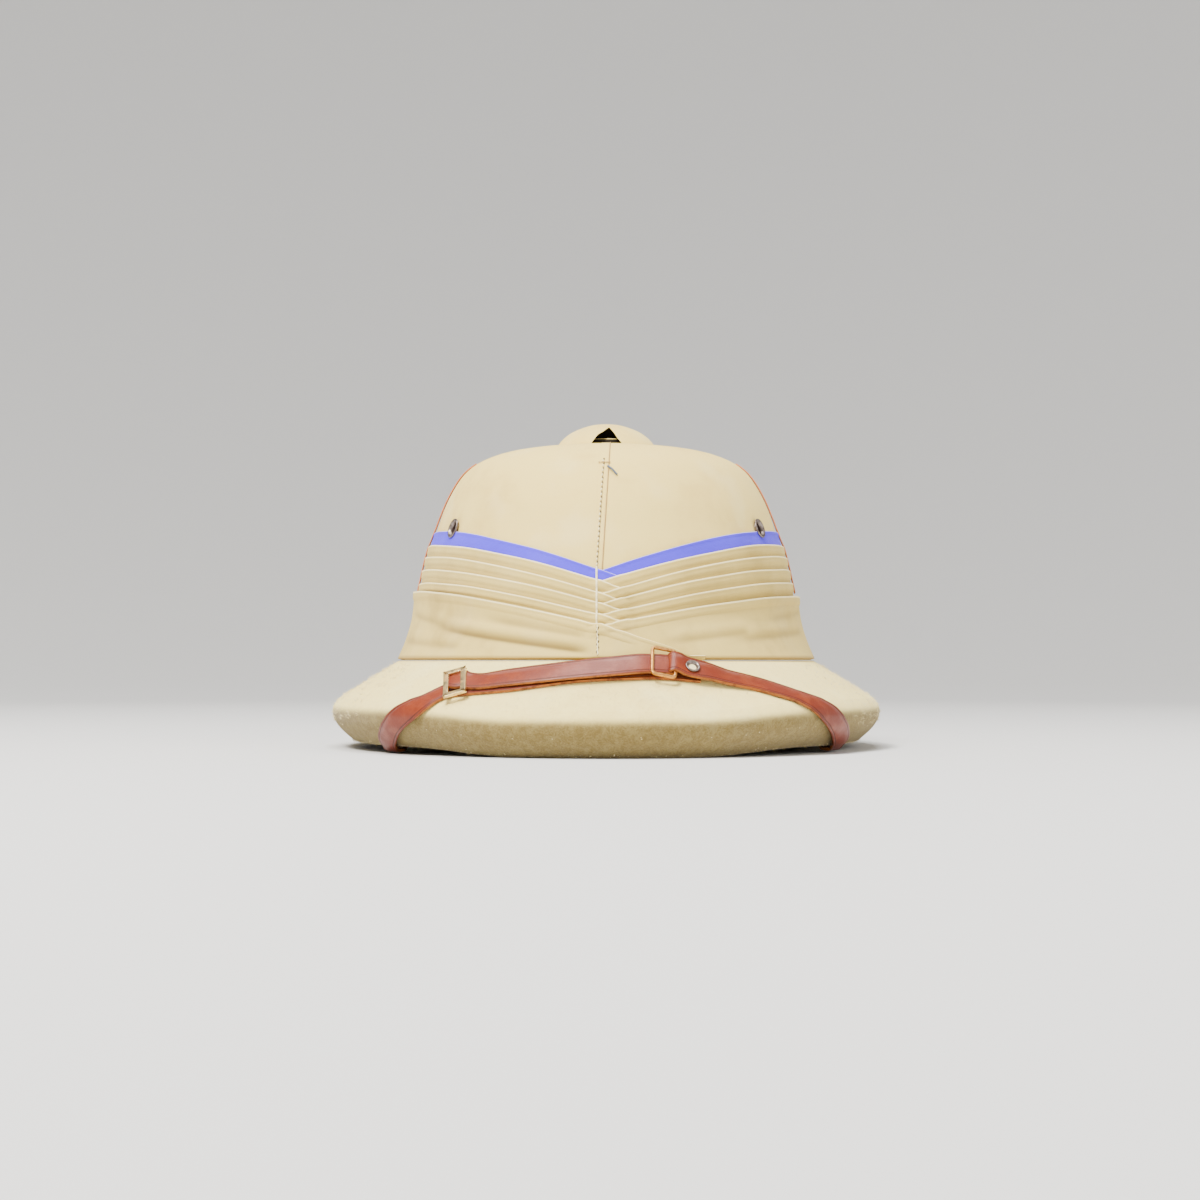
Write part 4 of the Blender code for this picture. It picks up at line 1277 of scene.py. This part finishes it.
def ringRows(radius, hole, rim, depth):
    # a rolled rim that dips as a funnel into its tube
    crest = radius - 0.55 * rim
    return [(hole, -0.8 * rim), (hole + 0.25 * (crest - hole), -0.1 * rim),
            (hole + 0.65 * (crest - hole), 0.75 * rim), (crest, rim),
            (radius - 0.15 * rim, 0.8 * rim), (radius, 0.3 * rim), (radius - 0.1 * mm, 0),
            (hole + 0.4 * mm, -0.2 * rim), (hole + 0.4 * mm, -depth), (hole, -depth),
            (hole, -0.8 * rim)]


def makeEyelet(name, sizes, matrix, node):
    radius, hole, rim, depth = sizes
    piece = turnRows(name, ringRows(radius, hole, rim, depth), 40)
    finishPiece(piece, [greyMetal, boreShade], [node])
    for polygon in piece.data.polygons:
        inside = math.hypot(polygon.center.x, polygon.center.y) < hole + 0.2 * mm
        polygon.material_index = 1 if inside and polygon.center.z < -0.5 * rim else 0
    piece.matrix_world = matrix
    bakePlace(piece)
    smoothShade(piece, 60)


def facing(point, normal):
    return Matrix.Translation(point) @ Vector(normal).to_track_quat("Z", "Y").to_matrix().to_4x4()


for word, side in (("Left", -1), ("Right", 1)):
    angle, height = np.array([side * eyelets["angle"]]), np.array([eyelets["height"]])
    eyeletPoint = Vector(crownPlace(angle, height, np.array([eyelets["stand"]]))[0])
    eyeletNormal = eyeletPoint - Vector(crownPlace(angle, height, np.array([0.0]))[0])
    matrix = facing(eyeletPoint, eyeletNormal)
    makeEyelet("ventEyelet" + word, eyelets["vent"], matrix,
               "vent_eyelet_" + word.lower())
    for cloth in [crownCover] + [piece for piece in scarfPieces if piece.name == "blueBand" + word]:
        boreHole(cloth, matrix, eyelets["ventBore"], 30 * mm)
strapEyeletPlace = strapMatrix(strap["eyelet"], strap["leather"] + 0.1 * mm)
makeEyelet("strapEyelet", eyelets["strap"], strapEyeletPlace, "strap_eyelet")
boreHole(strapShort, strapEyeletPlace, eyelets["strapBore"], 3.6 * mm)
bpy.ops.mesh.primitive_cylinder_add(vertices=28, radius=eyelets["backRadius"], depth=0.3 * mm,
                                    location=(0, 0, 0))
eyeletBack = nameActive("eyeletBack")
eyeletBack.matrix_world = strapEyeletPlace @ Matrix.Translation((0, 0, -0.7 * mm))
bakePlace(eyeletBack)
finishPiece(eyeletBack, fluff, ["strap_eyelet"])


for word in ("left", "right"):
    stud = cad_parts["strap_stud_" + word]
    stud.data.materials.clear()
    stud.data.materials.append(greyMetal)


# Ventilator cap: a shallow dome with an arch cut through at the front, back and sides

def makeCap():
    look = {"radius": 27.5 * mm, "rise": 13.3 * mm, "wall": 2.2 * mm, "foot": 2.3 * mm,
            # the opening's outline in mm: across and above the foot
            "arch": ((-9.8, -3.0), (9.8, -3.0), (8.0, 1.2), (5.9, 3.8), (4.4, 6.4), (2.0, 9.9),
                     (1.5, 10.2), (1.0, 9.9), (-1.6, 7.6), (-4.4, 5.8), (-6.0, 3.6), (-7.7, 1.2)),
            "reach": 40 * mm, "rearArch": 0.5}     # the one at the back is lower
    rows = ((0.08, 0.998), (0.33, 0.93), (0.63, 0.70), (0.82, 0.44), (0.95, 0.17), (1.00, 0.00))
    base = crownForm["height"] - look["foot"]
    line = catmull(rows, 5)
    outer = [(r * look["radius"], base + h * look["rise"]) for r, h in line]
    innerRadius, innerRise = look["radius"] - look["wall"], look["rise"] - look["wall"]
    inner = [(r * innerRadius, base + h * innerRise) for r, h in line[::-1]]
    cap = turnRows("capCover", [inner[-1]] + inner[::-1][1:] + outer[::-1], 96, closed=False)
    bpy.context.view_layer.objects.active = cap
    bpy.ops.object.mode_set(mode="EDIT")
    bpy.ops.mesh.select_all(action="DESELECT")
    bpy.ops.mesh.select_mode(type="EDGE")
    bpy.ops.mesh.select_non_manifold()
    bpy.ops.mesh.fill_holes(sides=0)
    bpy.ops.mesh.select_mode(type="VERT")
    bpy.ops.object.mode_set(mode="OBJECT")
    outwardNormals(cap)
    for turn in (0, 90, 180, 270):
        bpy.ops.mesh.primitive_plane_add(size=1, location=(0, 0, 0))
        cutter = nameActive("archCutter")
        shape = bmesh.new()
        low = look["rearArch"] if turn == 180 else 1
        shape.faces.new([shape.verts.new((x * mm, -look["reach"], z * low * mm))
                         for x, z in look["arch"]])
        shape.to_mesh(cutter.data)
        shape.free()
        editAll(cutter)
        extrudeBy((0, look["reach"], 0))
        bpy.ops.object.mode_set(mode="OBJECT")
        cutter.rotation_euler.z = math.radians(turn)
        cutter.location.z = base
        bakePlace(cutter)
        outwardNormals(cutter)
        applyModifier(cap, "BOOLEAN", operation="DIFFERENCE", object=cutter)
        bpy.data.objects.remove(cutter)
    cap.location = (0, headY, hemZ)
    bakePlace(cap)
    softenEdges(cap, 0.5 * mm, 45, 3)
    flattenUv(cap)
    smoothShade(cap, 50)
    finishPiece(cap, [crownCloth, capShade], ["ventilator_cap"])
    top = hemZ + base + innerRise
    for polygon in cap.data.polygons:
        x, y, z = polygon.center.x, polygon.center.y - headY, polygon.center.z
        out = math.hypot(x, y)
        inward = polygon.normal.x * x + polygon.normal.y * y < 0 or polygon.normal.z < -0.3
        reached = np.interp(z - hemZ, [h for _, h in inner[::-1]], [r for r, _ in inner[::-1]])
        inside = out < reached + 0.5 * mm and z < top + 0.3 * mm
        polygon.material_index = 1 if inward and inside else 0


makeCap()
print("cap made")


# Front seam of the crown, its stitches and a loose thread; cord and stitches of the scarf's middle

seam = {"foot": 42.0 * mm, "top": 113.6 * mm, "footX": -2.5 * mm, "topX": 2.0 * mm, "lap": 4.4 * mm,
        "thickness": 0.42 * mm, "row": 2.9 * mm, "pitch": 2.5 * mm, "cordX": -4.8 * mm,
        "cordTop": 45.2 * mm, "cordFoot": 15.4 * mm, "cord": 0.5 * mm, "thread": 0.3 * mm,
        "cross": 98.2 * mm, "looseFrom": 96.2 * mm, "looseDrop": 4.6 * mm, "looseSide": 4.9 * mm,
        "loose": 0.5 * mm}


def onCrown(height, x, offset):
    # a point of the crown's front at this height and distance from the middle
    half = np.interp(height, crownLine[:, 0], crownLine[:, 1])
    angle = np.degrees(np.arcsin(np.clip(x / np.maximum(half, 5 * mm), -1, 1)))
    return crownPlace(angle, height, offset), angle


def seamX(height):
    return np.interp(height, (seam["foot"], seam["top"]), (seam["footX"], seam["topX"]))


def makeSeam():
    def place(u, v):
        height = seam["foot"] + (seam["top"] - seam["foot"]) * u
        x = seamX(height) - seam["lap"] * (1 - v)
        return onCrown(height, x, 0.12 * mm * np.ones_like(u))[0]

    length = (seam["top"] - seam["foot"]) * 1.18
    lap = layGrid("crownSeam", 120, 5, (length, seam["lap"]), place)
    thin = lap.vertex_groups.new(name="full")
    for vertex in lap.data.vertices:
        thin.add([vertex.index], min(vertex.index // 121 / 2, 1.0), "REPLACE")
    applyModifier(lap, "SOLIDIFY", thickness=seam["thickness"], offset=1.0, vertex_group="full",
                  thickness_vertex_group=0.1)
    softenEdges(lap, 0.12 * mm)
    smoothShade(lap, 60)
    finishPiece(lap, crownCloth, ["crown"])

    # painted shade: a thin brown tube along the lap's edge stands for the shade line at the seam's
    # step
    ridge = [onCrown(h, seamX(h) + 0.1 * mm, 0.3 * mm)[0]
             for h in np.linspace(seam["foot"], seam["top"] - 0.5 * mm, 60)]
    finishPiece(layThread("crownSeamEdge", ridge, 0.24 * mm), seamThreadAndShade, ["crown"])

    def line(height0, x0, height1, x1, rise):
        # middle, way along and way off, for a stitch between two points
        first = Vector(onCrown(height0, x0, rise)[0])
        last = Vector(onCrown(height1, x1, rise)[0])
        height, x = (height0 + height1) / 2, min(x0, x1)
        off = Vector(onCrown(height, x, 5 * mm)[0]) - Vector(onCrown(height, x, 0.0)[0])
        return (first + last) / 2, last - first, off

    stitches, holes, cross = [], [], []
    wander = waves(71, 5, 300, 900)
    for height in np.arange(seam["foot"] + 2 * mm, seam["top"] - 14 * mm, seam["pitch"]):
        x = seamX(height) - seam["row"] + 0.2 * mm * float(wander(height))
        middle, along, off = line(height - 0.6 * mm, x, height + 0.6 * mm, x + 0.35 * mm, 0.55 * mm)
        stitches.append((middle, along, off))
        # painted shade: a dark capsule sunk at each stitch's end stands for the shaded needle hole
        holes.append((middle + along * 0.95 - off.normalized() * 0.12 * mm, along, off))
    for step in range(5):
        x = seamX(seam["cross"]) - 4.6 * mm + step * 1.25 * mm
        cross.append(line(seam["cross"], x - 0.4 * mm, seam["cross"], x + 0.4 * mm, 0.6 * mm))
    for name, lines, length, radius, material in (
            ("crownStitches", stitches, 1.6 * mm, 0.42 * mm, creamThread),
            ("crownStitchHoles", holes, 1.2 * mm, 0.42 * mm, darkThreadAndHoleShade),
            ("crownCross", cross, 1.3 * mm, 0.28 * mm, seamThreadAndShade)):
        finishPiece(sewStitches(name, lines, length, radius), material, ["crown"])

    ends = []
    for t in np.linspace(0, 1, 12):
        height = seam["looseFrom"] - seam["looseDrop"] * t
        x = seamX(height) - 0.4 * mm + seam["looseSide"] * t
        rise = 0.5 * mm + 0.7 * mm * math.sin(math.pi * min(t, 0.9))
        ends.append(onCrown(height, x, rise)[0])
    finishPiece(layThread("looseThread", ends, seam["loose"]), greyThread, ["crown"])


def scarfFront(height, x, rise):
    # a point lying on all the layers of the scarf's middle
    _, angle = onCrown(height, x, 0.0)
    angle = np.atleast_1d(angle)
    heights = np.atleast_1d(height)
    lift = stackedOffset(len(layers), angle, heights)
    bulge, _ = wrapBulge(angle, heights, np.clip(heights / layers[-1].top(angle), 0, 1))
    wrapped = smoothStep((layers[-1].top(angle) + 0.8 * mm - heights) / (1.2 * mm))
    return crownPlace(angle, heights, lift + bulge * wrapped + rise)[0]


def makeScarfMiddle():
    heights = np.linspace(seam["cordTop"], seam["cordFoot"], 40)
    cordWander = waves(81, 4, 100, 400)
    points = [scarfFront(h, seam["cordX"] + 0.12 * mm * float(cordWander(h)), seam["cord"] * 0.9)
              for h in heights]
    cord = layThread("scarfCord", points, seam["cord"])
    finishPiece(cord, creamThread, ["pleat_1"])
    heights = np.linspace(seam["cordFoot"], 1.2 * mm, 26)
    points = [scarfFront(h, seam["cordX"] + 0.45 * mm + 0.3 * mm * math.sin(i * 1.9), 0.1 * mm)
              for i, h in enumerate(heights)]
    sewn = layThread("scarfSeam", points, seam["thread"])
    finishPiece(sewn, creamThread, ["wide_wrap"])
    dark = []
    for i, h in enumerate(np.arange(seam["cordFoot"] - 1 * mm, 1.5 * mm, -1.5 * mm)):
        x = seam["cordX"] + (0.9 if i % 2 else 0.1) * mm
        middle = Vector(scarfFront(h, x, 0.15 * mm))
        above = Vector(scarfFront(h + 1 * mm, x + 0.3 * mm, 0.15 * mm))
        off = Vector(scarfFront(h, x, 4 * mm)) - middle
        dark.append((middle, above - middle, off))
    crossed = sewStitches("scarfStitches", dark, 1.6 * mm, 0.32 * mm)
    finishPiece(crossed, darkThreadAndHoleShade, ["wide_wrap"])


makeSeam()
makeScarfMiddle()
print("seams sewn")


# Brushed nap: short loose fibres that show along the brim's edges, and a little lint

def makeNap():
    look = {"fibres": 14000, "tufts": 700, "long": (0.7 * mm, 2.0 * mm), "thick": 0.11 * mm,
            "lint": 90, "floorGap": 0.3 * mm}
    random = np.random.RandomState(17)
    bpy.ops.mesh.primitive_cone_add(vertices=3, radius1=1, radius2=0, depth=1, location=(0, 0, 0.5))
    fibres = nameActive("napFibres")
    bakePlace(fibres)
    matrices = []
    tufts = [(random.choice([-1, 1]) * random.uniform(58, 125), random.uniform(0.1, 1.25))
             for _ in range(look["tufts"])]
    for index in range(look["fibres"]):
        angle = random.uniform(-180, 180)
        share = random.choice([random.uniform(0.02, 0.7), random.uniform(0.3, 0.95), 1.93])
        if index % 2:
            angle, share = tufts[random.randint(len(tufts))]
            angle += random.normal() * 0.35
            share = max(share + random.normal() * 0.015, 0.02)
        point, normal, _ = brimFrame(angle, arcAt(angle, share))
        side = Vector(random.normal(size=3))
        lean = (normal * random.uniform(0.25, 1.0) + side * 0.55).normalized()
        turn = lean.to_track_quat("Z", "Y").to_matrix().to_4x4()
        long = random.uniform(*look["long"]) * (1.0 if random.uniform() < 0.9 else 1.6)
        if point.z + lean.z * long < look["floorGap"] or point.z < 0.5 * mm:
            continue
        matrices.append(Matrix.Translation(point - normal * 0.2 * mm) @ turn
                        @ Matrix.Diagonal((look["thick"], look["thick"], long, 1)))
    finishPiece(scatter(fibres, matrices), fluff, ["brim"])
    bpy.ops.mesh.primitive_ico_sphere_add(subdivisions=1, radius=1, location=(0, 0, 0))
    lint = nameActive("napLint")
    matrices = []
    for _ in range(look["lint"]):
        angle = random.uniform(-75, 75)
        share = random.choice([1.93, 1.88, 1.3]) + random.uniform(-0.06, 0.06)
        point, normal, _ = brimFrame(angle, arcAt(angle, share))
        size = random.uniform(0.16 * mm, 0.42 * mm)
        if point.z < 0.6 * mm:
            continue
        matrices.append(Matrix.Translation(point + normal * 0.1 * mm)
                        @ Matrix.Diagonal((size, size * 0.7, size * 0.8, 1)))
    finishPiece(scatter(lint, matrices), fluff, ["brim"])


makeNap()
print("nap brushed")


# Camera and light

camera = {"distance": 1.2, "side": -3.3 * mm, "pitch": 1.56, "lens": 66.2}
cameraData = bpy.data.cameras.new("frontCamera")
cameraData.lens = camera["lens"]
cameraData.sensor_width = 36
cameraObject = bpy.data.objects.new("frontCamera", cameraData)
bpy.context.scene.collection.objects.link(cameraObject)
cameraObject.location = (camera["side"], -camera["distance"], hemZ)
cameraObject.rotation_euler = (math.radians(90 + camera["pitch"]), 0, 0)
bpy.context.scene.camera = cameraObject


def makeStage():
    look = {"flat": 1.4, "radius": 3.4, "sides": 96}
    rows = [(0.001, 0.0), (0.5, 0.0), (look["flat"], 0.0)]
    curve = look["radius"] - look["flat"]
    for step in range(1, 13):
        turn = math.pi / 2 * step / 12
        rows.append((look["flat"] + curve * math.sin(turn), curve * (1 - math.cos(turn))))
    rows.append((look["radius"], curve + 1.5))
    floor = turnRows("studioFloor", rows, look["sides"], closed=False)
    for polygon in floor.data.polygons:
        polygon.use_smooth = True
    material, w, shader = newMaterial("studioPaper", 0.9, Specular_IOR_Level=0.1)
    grain = w.noise(coordinates(w), 30.0, 3.0)
    paper = w.mix(w.times(grain, 0.08), sRgb(214, 214, 214), sRgb(204, 205, 207))
    w.put(shader, "Base Color", paper)
    floor.data.materials.append(material)
    floor.select_set(False)


makeStage()


def addLight(name, place, target, size, power, colour):
    data = bpy.data.lights.new(name, "AREA")
    data.size = size
    data.energy = power
    data.color = colour
    light = bpy.data.objects.new(name, data)
    bpy.context.scene.collection.objects.link(light)
    light.location = place
    light.rotation_euler = (Vector(target) - Vector(place)).to_track_quat("-Z", "Y").to_euler()


lights = {
    # place, aim, size in metres, watts, colour
    "keyLight": ((-0.8, -1.1, 1.9), (0, 0, 0.08), 0.7, 114, (1.0, 0.97, 0.92)),
    "fillLight": ((1.6, -1.2, 0.9), (0, 0, 0.08), 1.6, 19, (1.0, 0.98, 0.95)),
    "topLight": ((0.0, -0.2, 2.1), (0, 0, 0.1), 1.0, 47, (1.0, 0.985, 0.95)),
}
for name, values in lights.items():
    addLight(name, *values)
world = bpy.data.worlds.new("studioAir")
world.use_nodes = True
world.node_tree.nodes["Background"].inputs["Color"].default_value = (1.0, 0.98, 0.95, 1)
world.node_tree.nodes["Background"].inputs["Strength"].default_value = 0.33
bpy.context.scene.world = world
print("stage set")
